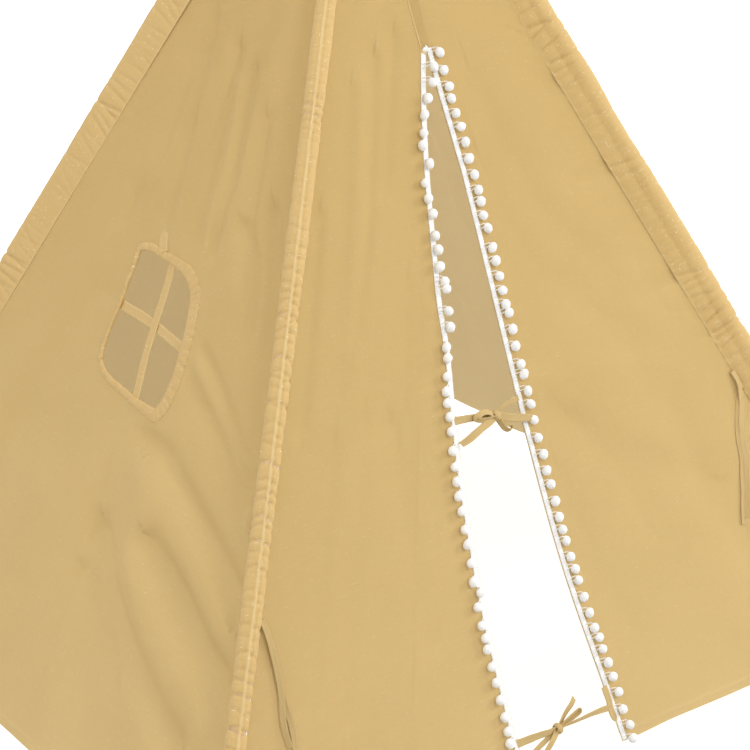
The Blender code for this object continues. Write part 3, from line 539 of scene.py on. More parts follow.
# Walls. The cover's four sides are cut from a plain-woven slubby cotton canvas, 0.8 mm thick,
# with a turned-up hem. They hang between the pole casings in soft folds.
CANVAS = 0.0008
SLEEVE_WALL = 0.0019
SLEEVE_RADIUS = DOWEL_RADIUS + 2 * CLEARANCE + SLEEVE_WALL
HEM_HEIGHT = 0.024
HEM_DEPTH = 0.012
HEM_PROUD = 0.0006
HEM_EDGE = 0.0012
CANOPY_TOP = 1.17
FOLD_DEPTH = 0.009
FOLD_WIDTH = 0.045
FOLD_SLOPE = 1.8
FOLD_END = 3
HOLLOW_DEPTH = 0.0022
RIPPLE_DEPTH = 0.0009
GATHER_START = -0.01
GATHER_END = 0.07
GATHER_SHARE = 0.3
LOOSE_HEIGHT = 0.14
HEM_WAVE = 0.0035
HEM_SWAY = 0.006
CLOTH_STEP = 0.005
WALL_COLUMNS = 100
SEAM_HOLD = 0.036
WINDOW_ALONG = 0.049
WINDOW_HEIGHT = 0.557
WINDOW_WIDTH = 0.192
WINDOW_LENGTH = 0.212
WINDOW_CALM = 0.06
WINDOW_STILL = 0.02
WINDOW_HIDDEN_CUT = 0.004
SINGLE_TONES = (0.650, 0.457, 0.177, 1), (0.766, 0.550, 0.238, 1)
DOUBLED_TONES = (0.605, 0.405, 0.149, 1), (0.715, 0.490, 0.200, 1)


def canvas(name, dark, light, through=0):
    """Slubby mustard canvas: uneven warp and weft, pale flecks of raw cotton, faint clouding.
    A share of the light comes through a single layer of it."""
    cloth = Finish(name, "mustard_canvas")
    place = cloth.on_cloth()
    warp = cloth.streaks(place, (1300, 60, 1))
    weft = cloth.streaks(place, (60, 1300, 1))
    rows = cloth.streaks(place, (26, 430, 1))
    ends = cloth.streaks(place, (430, 26, 1))
    mottle = cloth.grain(place, 240.0, 3)
    cloud = cloth.grain(place, 7.0, 3)
    slub = cloth.step(cloth.streaks(place, (95, 620, 1), 1), 0.70, 0.74)
    slub = slub + cloth.step(cloth.streaks(place, (620, 95, 1), 1), 0.72, 0.76)
    tone = 0.5 + (warp + weft - 1) * 0.35 + (rows - 0.5) * 0.75 + (ends - 0.5) * 0.35
    tone = tone + (mottle - 0.5) * 0.6 + (cloud - 0.5) * 0.5
    colour = cloth.mix(slub * 0.75, cloth.mix(tone, dark, light), (0.90, 0.79, 0.55, 1))
    # Marked folded edges and seam ridges are lightened here: a painted highlight where they catch the
    # light.
    painted_highlight = cloth.node("Attribute", {"attribute_name": "fold_and_highlight"}, out="Fac")
    colour = cloth.mix(painted_highlight * 0.6, colour, (0.83, 0.65, 0.33, 1))
    cloth.paint(Base_Color=colour, Roughness=0.82 + warp * 0.12, Sheen_Weight=0.08,
                Sheen_Roughness=0.6)
    cloth.relief(warp * 0.4 + weft * 0.4 + mottle * 0.5 + slub * 0.3, 0.0004, 0.6)
    if through:
        thin = cloth.node("BsdfTranslucent", None, {"Color": (0.86, 0.81, 0.64, 1)})
        both = cloth.node("MixShader", None,
                          {0: through, 1: Value(cloth, cloth.shader.outputs[0]), 2: thin})
        cloth.plug(cloth.tree.nodes["Material Output"], {"Surface": both})
    return cloth


def clamped(share):
    return min(1, max(0, share))


def smooth_step(share):
    share = clamped(share)
    return share * share * (3 - 2 * share)


def wander(x, y, z):
    """Smooth noise between -1 and 1 at a place."""
    return noise.noise(Vector((x, y, z)))


def abreast(spot, start, run):
    """The share of a straight run from a start at which it is nearest to a spot."""
    return clamped((spot - start).dot(run) / run.length_squared)


class Creases:
    """The small pinched folds that a casing's stitching gives it. They crowd at some heights."""

    def __init__(self, seed, pitch, depth, crowds=(), reaches=(0.014, 0.042)):
        draw = random.Random(seed)
        self.folds = []
        travel = 0.0
        while travel < DOWEL_LENGTH:
            travel += pitch * draw.uniform(0.6, 1.6)
            height = travel * cos(LEAN)
            crowd = max((exp(-((height - place) / spread) ** 2) for place, spread in crowds), default=1)
            self.folds.append((travel, depth * draw.uniform(0.45, 1.0) * (0.2 + 0.8 * crowd),
                               draw.uniform(0.0016, 0.0030), draw.uniform(-0.35, 0.35),
                               draw.uniform(*reaches)))

    def at(self, travel, away):
        """How deep the cloth is drawn in, at a distance along the pole and away from the seam."""
        total = 0.0
        for place, depth, width, skew, reach in self.folds:
            gap = (travel - place - skew * away) / width
            if abs(gap) < 5:
                total += depth * exp(-abs(gap) ** 1.3 - (away / reach) ** 2)
        return total


CREASES = {
    "front_left": Creases(3, 0.0135, 0.0042, ((0.865, 0.025), (0.635, 0.09), (0.45, 0.12),
                                              (0.22, 0.15), (1.05, 0.04)), (0.018, 0.045)),
    "front_right": Creases(5, 0.0135, 0.0060, ((0.95, 0.10), (1.10, 0.08), (0.724, 0.014), (0.564, 0.02),
                                               (0.50, 0.04), (0.30, 0.10)), (0.03, 0.07)),
    "back_right": Creases(8, 0.0140, 0.0055, ((1.0, 0.15), (0.6, 0.05), (0.3, 0.1)), (0.03, 0.08)),
    "back_left": Creases(11, 0.0125, 0.0042, ((1.05, 0.12), (0.8, 0.06), (0.55, 0.04), (0.3, 0.1)),
                         (0.02, 0.07))}


class Side:
    """A canvas side: a leaning plane whose edges bend to meet the two poles' casings.

    Places on it are (along, height): along runs from the left pole to the right, from outside."""

    def __init__(self, left, right, calm_shares, ridge_shares, reaches, fine_shares):
        self.left, self.right, self.calm_shares = POLES[left], POLES[right], calm_shares
        self.reaches = dict(zip((left, right), reaches))
        self.along = (self.right.foot - self.left.foot).normalized()
        self.out = Vector((self.along.y, -self.along.x, 0))
        self.base = self.left.foot.dot(self.out)
        self.normal = (self.out * CROSSING + Z * self.base).normalized()
        self.rise = self.normal.dot(self.out)
        self.ridges = []
        for q0, h0, q1, h1, rise_share, width_share in ridge_shares:
            start, end = self.spot(q0, h0), self.spot(q1, h1)
            self.ridges.append((start, end - start, FOLD_WIDTH * width_share, FOLD_DEPTH * rise_share))
        self.fine = []
        for rise_share, width_share, *way in fine_shares:
            places = [self.spot(*shares) for shares in way]
            self.fine.append((FOLD_DEPTH * rise_share, FOLD_WIDTH * width_share,
                              list(zip(places, places[1:]))))

    def spot(self, along_share, height_share):
        """The place at shares of the side's width and of its height."""
        height = HEM_HEIGHT + (CANOPY_TOP - HEM_HEIGHT) * height_share
        return Vector((self.across(along_share, height), height))

    def plane(self, along, height):
        lean = self.base * (1 - height / CROSSING)
        return self.along * along + self.out * lean + Z * height

    def edge(self, pole, height, away=SLEEVE_RADIUS + 2 * CLEARANCE):
        """Where the canvas is a distance away from a pole's axis."""
        inwards = 1 if pole is self.left else -1
        return pole.at(height).dot(self.along) + inwards * away / self.along.cross(pole.up).length

    def across(self, share, height):
        low, high = self.edge(self.left, height), self.edge(self.right, height)
        return low + (high - low) * share

    def middle(self, height):
        """The line that parts the cloth of one pole from the other's."""
        return self.across(0.5, height)

    def stray(self, pole, height):
        """How far out of the plane a pole's axis lies."""
        return (pole.at(height) - self.plane(0, height)).dot(self.out)

    def flat(self, height):
        """The two ends of the stretch that stays in the plane."""
        return [self.across(share, height) for share in self.calm_shares]

    def calm(self, along, height):
        return 1

    def fold(self, along, height):
        """The cloth's main folds, which fade at the casings."""
        low, high = self.edge(self.left, height), self.edge(self.right, height)
        spot = Vector((along, height))
        lift = 0
        for start, run, width, rise in self.ridges:
            gap = (spot - start - run * abreast(spot, start, run)).length / width
            if gap < FOLD_END:
                lift += rise * exp(-gap * gap)
        return lift * sin(pi * clamped((along - low) / (high - low))) * self.calm(along, height)

    def spare(self, along, height):
        """The share of the finer folds that a place takes."""
        return 1

    def beside(self, spot, runs):
        """How far a spot lies from a fold's line; below zero on its lower or left side."""
        nearest = None
        for one, two in runs:
            run = two - one
            away = spot - one - run * abreast(spot, one, run)
            if nearest is None or away.length < abs(nearest):
                nearest = copysign(away.length, run.cross(away))
        return nearest

    def slack(self, along, height):
        """Shallow hollows all over, and the casings' gathers as they run out into the cloth."""
        quiet = min(1, 0.25 + abs(along - self.across(0.5, height)) / 0.05)
        lift = wander(along * 5, height * 3.6, self.base * 40) * HOLLOW_DEPTH
        lift += wander(along * 13, height * 9, self.base * 70) * RIPPLE_DEPTH
        lift *= quiet
        spot = Vector((along, height))
        spare = self.spare(along, height)
        for rise, width, runs in self.fine:
            away = self.beside(spot, runs)
            gap = away / (width if away > 0 else FOLD_SLOPE * width)
            if abs(gap) < FOLD_END:
                lift += rise * exp(-gap * gap) * spare
        for pole in (self.left, self.right):
            away = abs(along - self.edge(pole, height, 0)) * self.along.cross(pole.up).length
            beyond = away - self.reaches[pole.name]
            if GATHER_START < beyond < GATHER_END:
                travel = height / pole.up.z
                lift -= CREASES[pole.name].at(travel, max(0, beyond)) * GATHER_SHARE
        return lift

    def bend(self, along, height):
        flat_low, flat_high = self.flat(height)
        if along < flat_low:
            low = self.edge(self.left, height)
            return self.stray(self.left, height) * smooth_step((flat_low - along) / (flat_low - low))
        if along > flat_high:
            high = self.edge(self.right, height)
            return self.stray(self.right, height) * smooth_step((along - flat_high) / (high - flat_high))
        return 0

    def point(self, along, height, offset=0.0):
        lift = offset + self.fold(along, height) + self.slack(along, height)
        drop = 1 - smooth_step((height - HEM_HEIGHT) / LOOSE_HEIGHT)
        wave = wander(along * 11, self.base * 30, 0.5) * HEM_WAVE * drop
        sway = wander(along * 9, self.base * 20, 3.5) * HEM_SWAY * drop
        lift += sway * self.calm(along, height)
        return (self.plane(along, height) + self.out * self.bend(along, height) + self.normal * lift
                + Z * wave)

    def still(self, height):
        """The two ends of the stretch that follows the lashing alone."""
        return self.middle(height), self.middle(height)

    def held(self, along, height):
        """The share of its nearer pole's fold that the cloth would follow, 0 at the middle."""
        low, high = self.still(height)
        pole, start = (self.left, low) if along < self.middle(height) else (self.right, high)
        ends = self.edge(pole, height, SEAM_HOLD)
        return clamped((along - start) / (ends - start))


class DoorSide(Side):
    """The front: flat between the creases that its two door flaps fold about."""

    def flat(self, height):
        if height > FLAP_TOP:
            narrowing = (CROSSING - height) / (CROSSING - FLAP_TOP)
            return [side * FLAP_TOP_REACHES[side] * narrowing for side in (-1, 1)]
        return [hinge_line(-1, height), hinge_line(1, height)]

    def calm(self, along, height):
        low, high = self.flat(height)
        return smooth_step((low - along if along < low else along - high) / (2 * FOLD_WIDTH))

    def middle(self, height):
        return DOOR_CENTRE

    def still(self, height):
        return self.flat(height)


class WindowSide(Side):
    """The left side: flat round its window."""

    def from_window(self, along, height):
        slope = abs(height - WINDOW_HEIGHT) / self.rise
        return max(abs(along - WINDOW_ALONG) - WINDOW_WIDTH / 2, slope - WINDOW_LENGTH / 2)

    def calm(self, along, height):
        return smooth_step((self.from_window(along, height) - WINDOW_CALM / 2) / WINDOW_CALM)

    def spare(self, along, height):
        return smooth_step(self.from_window(along, height) / (WINDOW_CALM / 2))

    def middle(self, height):
        return WINDOW_ALONG * (CROSSING - height) / (CROSSING - WINDOW_HEIGHT)

    def still(self, height):
        reach = (WINDOW_WIDTH / 2 + WINDOW_STILL) * (CROSSING - height) / (CROSSING - WINDOW_HEIGHT)
        return self.middle(height) - reach, self.middle(height) + reach


# Each ridge: its two ends as (along, height) shares, how high and how wide it is
LEFT_RIDGE_SHARES = (
    (0.66, 0.42, 0.93, 0.86, 0.8, 0.8), (0.70, 0.28, 0.88, 0.02, 1.0, 1.0),
    (0.60, 0.26, 0.70, 0.02, -0.9, 1.1), (0.82, 0.50, 0.94, 0.30, -0.7, 0.7),
    (0.30, 0.62, 0.16, 0.25, 0.8, 1.0), (0.26, 0.30, 0.20, 0.02, -0.8, 1.0),
    (0.42, 0.24, 0.40, 0.02, 0.8, 1.1), (0.45, 0.72, 0.62, 0.95, 0.5, 0.7))
PLAIN_RIDGE_SHARES = (
    (0.20, 0.02, 0.34, 0.70, 0.9, 1.0), (0.40, 0.02, 0.44, 0.45, -0.8, 1.1),
    (0.62, 0.02, 0.56, 0.60, 1.0, 1.1), (0.83, 0.02, 0.70, 0.72, -0.7, 1.0))
DOOR_RIDGE_SHARES = (
    (0.08, 0.10, 0.20, 0.62, 0.6, 0.8), (0.16, 0.02, 0.24, 0.34, -0.7, 0.8),
    (0.93, 0.06, 0.78, 0.70, 0.7, 0.9), (0.84, 0.02, 0.80, 0.40, -0.6, 0.8))
# The finer folds that the photograph shows: how high, how wide, and (along, height) places
LEFT_FINE_SHARES = (
    (-1.10, 0.26, (0.70, 0.485), (0.786, 0.461), (0.881, 0.421), (0.96, 0.376)),
    (0.95, 0.40, (0.72, 0.468), (0.82, 0.435), (0.90, 0.396), (0.98, 0.350)),
    (-1.15, 0.28, (0.718, 0.448), (0.861, 0.398), (0.972, 0.341)),
    (-1.40, 0.33, (0.658, 0.376), (0.774, 0.34), (0.887, 0.306), (0.983, 0.272)),
    (1.20, 0.53, (0.70, 0.335), (0.82, 0.300), (0.95, 0.255)),
    (-1.30, 0.33, (0.744, 0.273), (0.842, 0.247), (0.914, 0.217), (0.988, 0.19)),
    (0.74, 0.46, (0.70, 0.235), (0.82, 0.190), (0.93, 0.150)),
    (-1.10, 0.36, (0.60, 0.250), (0.667, 0.206), (0.747, 0.171), (0.819, 0.142), (0.893, 0.116)),
    (-0.57, 0.31, (0.584, 0.20), (0.66, 0.168), (0.725, 0.134)),
    (-0.42, 0.22, (0.307, 0.796), (0.434, 0.665), (0.49, 0.575)),
    (-0.55, 0.20, (0.555, 0.774), (0.626, 0.659), (0.648, 0.57)),
    (-0.59, 0.20, (0.689, 0.76), (0.729, 0.646), (0.705, 0.56)),
    (0.42, 0.27, (0.62, 0.74), (0.68, 0.64), (0.67, 0.57)),
    (-0.46, 0.23, (0.815, 0.715), (0.832, 0.614), (0.866, 0.538)),
    (-0.63, 0.23, (0.81, 0.607), (0.88, 0.577), (0.896, 0.512)),
    (-0.97, 0.30, (0.917, 0.628), (0.973, 0.55), (0.978, 0.46), (0.97, 0.36)),
    (-0.29, 0.24, (0.29, 0.76), (0.336, 0.645), (0.314, 0.56)),
    (-0.29, 0.19, (0.41, 0.481), (0.332, 0.475)))
FRONT_FINE_SHARES = (
    (-0.52, 0.23, (0.222, 0.778), (0.201, 0.687), (0.183, 0.607), (0.148, 0.501)),
    (0.35, 0.34, (0.165, 0.74), (0.155, 0.62), (0.13, 0.50)),
    (-0.32, 0.23, (0.11, 0.752), (0.112, 0.622), (0.114, 0.446)),
    (-0.43, 0.21, (0.032, 0.633), (0.037, 0.532), (0.042, 0.427)),
    (-0.32, 0.23, (0.32, 0.795), (0.272, 0.713), (0.242, 0.643)),
    (-0.38, 0.28, (0.238, 0.4), (0.263, 0.285), (0.28, 0.178)),
    (-0.26, 0.28, (0.289, 0.536), (0.256, 0.407)),
    (-0.32, 0.30, (0.111, 0.398), (0.103, 0.295), (0.096, 0.165)),
    (-0.29, 0.30, (0.172, 0.419), (0.156, 0.285), (0.146, 0.134)),
    (-0.30, 0.54, (0.577, 0.641), (0.596, 0.577), (0.634, 0.517), (0.723, 0.478)),
    (0.30, 0.46, (0.544, 0.405), (0.679, 0.404), (0.81, 0.388)),
    (-0.30, 0.49, (0.558, 0.380), (0.638, 0.335), (0.713, 0.285), (0.815, 0.25)),
    (-0.24, 0.41, (0.613, 0.347), (0.658, 0.292), (0.68, 0.234)),
    (-0.22, 0.46, (0.636, 0.738), (0.657, 0.657), (0.706, 0.579), (0.814, 0.513)),
    (-0.27, 0.22, (0.919, 0.716), (0.99, 0.722)),
    (0.20, 0.54, (0.867, 0.46), (0.794, 0.347), (0.776, 0.226)),
    (-0.20, 0.46, (0.552, 0.295), (0.565, 0.201), (0.606, 0.097)),
    (-0.30, 0.22, (0.988, 0.611), (0.825, 0.598)),
    (-0.30, 0.22, (0.976, 0.471), (0.867, 0.46)))
PLAIN_FINE_SHARES = (
    (-0.48, 0.20, (0.04, 0.72), (0.16, 0.62), (0.22, 0.48)), (0.39, 0.30, (0.06, 0.50), (0.20, 0.40)),
    (-0.42, 0.22, (0.96, 0.64), (0.84, 0.55), (0.80, 0.42)), (0.36, 0.26, (0.30, 0.80), (0.36, 0.60)),
    (-0.36, 0.22, (0.02, 0.30), (0.16, 0.22), (0.24, 0.10)), (-0.39, 0.20, (0.98, 0.32), (0.86, 0.24)),
    (-0.31, 0.24, (0.62, 0.82), (0.60, 0.62), (0.64, 0.48)), (0.34, 0.30, (0.48, 0.36), (0.46, 0.14)),
    (-0.34, 0.22, (0.97, 0.80), (0.88, 0.74)), (-0.31, 0.26, (0.70, 0.30), (0.76, 0.12)))

# Casings that lie on a side take a strip of it; the others are only as wide as their pole
CASING_REACHES = {"front_right": 0.027, "back_right": 0.029, "back_left": 0.037}
DOOR_CENTRE = -0.007
DOOR_TOP = 0.915
FLAP_TOP = 0.74
FRONT = DoorSide("front_left", "front_right", None, DOOR_RIDGE_SHARES,
                 (SLEEVE_RADIUS, CASING_REACHES["front_right"]), FRONT_FINE_SHARES)
RIGHT = Side("front_right", "back_right", (0.3, 0.7), PLAIN_RIDGE_SHARES,
             (SLEEVE_RADIUS, SLEEVE_RADIUS), PLAIN_FINE_SHARES)
BACK = Side("back_right", "back_left", (0.3, 0.7), PLAIN_RIDGE_SHARES,
            (CASING_REACHES["back_right"], SLEEVE_RADIUS), PLAIN_FINE_SHARES[::2])
LEFT = WindowSide("back_left", "front_left", (0.25, 0.75), LEFT_RIDGE_SHARES,
                  (CASING_REACHES["back_left"], SLEEVE_RADIUS), LEFT_FINE_SHARES)


def cloth_heights(start, end, *extra):
    """Rows for a panel: even ones, the hem's folds, and any others that its outline needs."""
    count = round((end - start) / CLOTH_STEP)
    heights = [start + (end - start) * k / count for k in range(count + 1)]
    marks = [HEM_HEIGHT + HEM_DEPTH - HEM_EDGE, HEM_HEIGHT + HEM_DEPTH, *extra]
    return sorted(heights + [mark for mark in marks if start < mark < end])


def turn_up(height):
    """The hem's folded layers stand proud of the cloth above."""
    return HEM_PROUD * (1 - smooth_step((height - HEM_HEIGHT - HEM_DEPTH + HEM_EDGE) / HEM_EDGE))


def panel(wall, low, high, heights, columns):
    """Cloth on a wall from low(height) to high(height), with its hold on the poles."""
    rows = len(heights) - 1

    def place(share, up):
        height = heights[round(up * rows)]
        along = low(height) + (high(height) - low(height)) * share
        point = wall.point(along, height, turn_up(height))
        return point, (along, height / wall.rise), wall.held(along, height)

    return skin(columns, rows, place, mark="hold")


def thicken(made, offset=0):
    """Give a single skin its cloth's thickness, on both of its sides or, at -1, inwards."""
    layer = made.modifiers.new("cloth", "SOLIDIFY")
    layer.thickness = CANVAS
    layer.offset = offset


def sewn_in(made, pole):
    """Bake the cloth's place into its mesh; its hold is read but not used."""
    held = [item.value for item in made.data.attributes["hold"].data]
    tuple(pole.foot)
    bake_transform(made)


# The binding's outer edge as (along, height) places: square at the back, round at the front
WINDOW_OUTLINE = (
    (0.123, 0.629), (0.102, 0.644), (0.0735, 0.6515), (0.034, 0.653), (0.0, 0.655), (-0.026, 0.6535),
    (-0.044, 0.6475), (-0.0485, 0.638), (-0.0465, 0.614), (-0.0465, 0.5685), (-0.050, 0.525),
    (-0.049, 0.4965), (-0.042, 0.4875), (-0.014, 0.4745), (0.047, 0.467), (0.090, 0.4625),
    (0.123, 0.4605), (0.1415, 0.481), (0.1485, 0.511), (0.1475, 0.5395), (0.1425, 0.575),
    (0.135, 0.6035))


def window_outline(inset):
    """The binding's outer edge moved inwards, as a smooth closed ring of (along, height)."""
    marks = [Vector(place) for place in WINDOW_OUTLINE]
    count = len(marks)
    ring = [glide(*(marks[(k + near) % count] for near in (-1, 0, 1, 2)), step / 4)
            for k in range(count) for step in range(4)]
    moved = []
    for k, place in enumerate(ring):
        run = ring[(k + 1) % len(ring)] - ring[k - 1]
        moved.append(place + Vector((-run.y, run.x)).normalized() * inset)
    return moved


def nearest(ring, spot):
    """The place on a closed ring that is nearest to a spot."""
    places = []
    for one, two in zip(ring, ring[1:] + ring[:1]):
        run = two - one
        places.append(one + run * abreast(spot, one, run))
    return min(places, key=lambda place: (place - spot).length)


def inside(ring, spot):
    """Whether a spot lies inside a closed ring, by the crossings of a level line."""
    hits = 0
    for one, two in zip(ring, ring[1:] + ring[:1]):
        if (one.y > spot.y) != (two.y > spot.y):
            hits += spot.x < one.x + (two.x - one.x) * (spot.y - one.y) / (two.y - one.y)
    return hits % 2 == 1


def cut_window(cloth):
    """Take the window out of the left side's cloth, and draw the cut to the binding's line."""
    uv = cloth.loops.layers.uv["cloth"]
    ring = window_outline(WINDOW_HIDDEN_CUT)
    spots = {vert: Vector((vert.link_loops[0][uv].uv.x, vert.link_loops[0][uv].uv.y * LEFT.rise))
             for vert in cloth.verts}
    cut = [face for face in cloth.faces if inside(
        ring, sum((spots[vert] for vert in face.verts), Vector((0, 0))) / len(face.verts))]
    bmesh.ops.delete(cloth, geom=cut, context="FACES")
    for vert in cloth.verts:
        place = nearest(ring, spots[vert]) if vert.is_boundary else spots[vert]
        if 0 < (place - spots[vert]).length < CLOTH_STEP:
            vert.co = LEFT.point(*place)


CLOTH = canvas("mustard_canvas_single", *SINGLE_TONES, through=0.5)
WALL_ROWS = cloth_heights(HEM_HEIGHT, CANOPY_TOP)
TALL = (CANOPY_TOP - HEM_HEIGHT) / LEFT.rise
for wall, word in ((LEFT, "left"), (RIGHT, "right"), (BACK, "back")):
    for pole in (wall.left, wall.right):
        outer = partial(wall.edge, pole)
        ends = (outer, wall.middle) if pole is wall.left else (wall.middle, outer)
        cloth = panel(wall, *ends, WALL_ROWS, WALL_COLUMNS)
        if wall is LEFT:
            cut_window(cloth)
        made = keep(f"{word}_wall_canvas_by_{pole.name}", cloth, CLOTH, stands_for=f"{word}_wall")
        sewn_in(made, pole)
        thicken(made)
        base, top = (abs(outer(height) - wall.middle(height)) for height in (HEM_HEIGHT, CANOPY_TOP))
        (base + top) / 2 * TALL

# Front panels. The front is cut as a left and a right half, sewn up the middle above the door.
# Below the slit each half has a flap that folds out about a soft crease towards its hem corner.
FLAP_HEM_REACH = 0.32
FLAP_TOP_REACHES = {-1: 0.0645, 1: 0.014}
DOOR_LEFT_REACH = 0.118
DOOR_RIGHT_REACH = 0.054
DOOR_LEFT_SHARES = ((0, 0), (0.033, 0.08), (0.092, 0.21), (0.187, 0.38), (0.276, 0.51), (0.342, 0.60),
                    (0.404, 0.65), (0.468, 0.74), (0.57, 0.867), (0.76, 1), (1, 1))
DOOR_RIGHT_SHARES = ((0, 0.05), (0.066, 0.106), (0.139, 0.196), (0.18, 0.246), (0.40, 0.248), (0.55, 0.267),
                     (0.76, 0.459), (1, 1))
DOOR_UNDERLAP = 0.0012
FRONT_COLUMNS = 84
FLAP_COLUMNS = 44
BRAID_WIDTH = 0.007


def follow(shares, at):
    """Read a table of (place, value) shares as one smooth curve."""
    last = len(shares) - 1
    k = next((i for i in range(last) if at <= shares[i + 1][0]), last - 1)

    def slope(i):
        low, high = max(0, i - 1), min(last, i + 1)
        return (shares[high][1] - shares[low][1]) / (shares[high][0] - shares[low][0])

    (x0, y0), (x1, y1) = shares[k], shares[k + 1]
    step = x1 - x0
    s = clamped((at - x0) / step)
    return (y0 * (1 + 2 * s) * (1 - s) ** 2 + slope(k) * step * s * (1 - s) ** 2
            + y1 * s * s * (3 - 2 * s) + slope(k + 1) * step * s * s * (s - 1))


def door_edge(side, height):
    """Where the braid's inner edge stands on the front; side is -1 left, 1 right."""
    share = (DOOR_TOP - height) / (DOOR_TOP - HEM_HEIGHT)
    if side < 0:
        return DOOR_CENTRE - DOOR_LEFT_REACH * follow(DOOR_LEFT_SHARES, share)
    return DOOR_CENTRE + DOOR_RIGHT_REACH * follow(DOOR_RIGHT_SHARES, share)


def canvas_door_edge(side, height):
    return door_edge(side, height) + side * (BRAID_WIDTH + CLEARANCE)


def hinge_line(side, height):
    """The straight crease that a door flap folds about, from its top down to the hem."""
    top = side * FLAP_TOP_REACHES[side]
    share = (FLAP_TOP - height) / (FLAP_TOP - HEM_HEIGHT)
    return top + (side * FLAP_HEM_REACH - top) * share


def cut_edge(side, height):
    """The canvas runs on under the braid, and shows as a thin fold past it."""
    return door_edge(side, height) - side * DOOR_UNDERLAP


def seam_line(side, height):
    """Where a front half ends: at the middle, then at the door, then at its flap's crease."""
    if height > DOOR_TOP:
        return DOOR_CENTRE
    if height > FLAP_TOP:
        return cut_edge(side, height)
    return hinge_line(side, height)


def cut_size(one, two, heights):
    """The greatest width of a front piece between two lines, and its flat area."""
    widths = [abs(one(height) - two(height)) for height in heights]
    area = sum((low + high) / 2 * (b - a) / FRONT.rise
               for low, high, a, b in zip(widths, widths[1:], heights, heights[1:]))
    return max(widths), area


for side, word in ((-1, "left"), (1, "right")):
    pole = POLES["front_" + word]
    outer = partial(FRONT.edge, pole)
    inner, crease, free = (partial(line, side) for line in (seam_line, hinge_line, cut_edge))
    rows = cloth_heights(HEM_HEIGHT, CANOPY_TOP, FLAP_TOP, FLAP_TOP + CLEARANCE, DOOR_TOP,
                         DOOR_TOP + CLEARANCE)
    ends = (outer, inner) if side < 0 else (inner, outer)
    made = keep(f"front_{word}_canvas", panel(FRONT, *ends, rows, FRONT_COLUMNS), CLOTH,
                stands_for=f"front_{word}_panel")
    sewn_in(made, pole)
    thicken(made)
    width, area = cut_size(outer, inner, rows)
    rows = [height for height in rows if height <= FLAP_TOP]
    ends = (crease, free) if side < 0 else (free, crease)
    flap = keep(f"door_{word}_flap_canvas", panel(FRONT, *ends, rows, FLAP_COLUMNS), CLOTH,
                f"flap_{word}", f"door_flap_{word}")
    thicken(flap)
    width, area = cut_size(free, crease, rows)
    (FLAP_TOP - HEM_HEIGHT) / FRONT.rise

# Pole casings. Each corner of the cover has a canvas tube for its pole. The front left one is a
# round tube with its seam standing up along it; the others are folded over from one side and
# sewn down flat on it, a finger's width in. All are a little gathered by their stitching.
CASING_CLOTH = canvas("mustard_canvas_doubled", *DOUBLED_TONES)
CASING_HEM = 0.0305
CASING_STEP = 0.0021
CASING_COLUMNS = 72
CASING_SWELL = 0.0010
CASING_EDGE = 0.0012
CASING_CALM = 0.005
CASING_SOFT = 0.0009
ROUND_SOFT = 0.0007
RIDGE_ANGLE = 2.76
RIDGE_TURN = 0.44
RIDGE_WAVER = 0.05
RIDGE_HEIGHT = 0.0016
RIDGE_WIDTH = 0.0013
RIDGE_GROOVE = 0.0007
# How far beyond its pole each folded casing hangs loose, as a share of its radius
CASING_LOOSE_SHARES = {"front_right": 1.05, "back_right": 0.9, "back_left": 0.4}
LIP_ANGLE = 2.52
LIP_SPREAD = 0.95


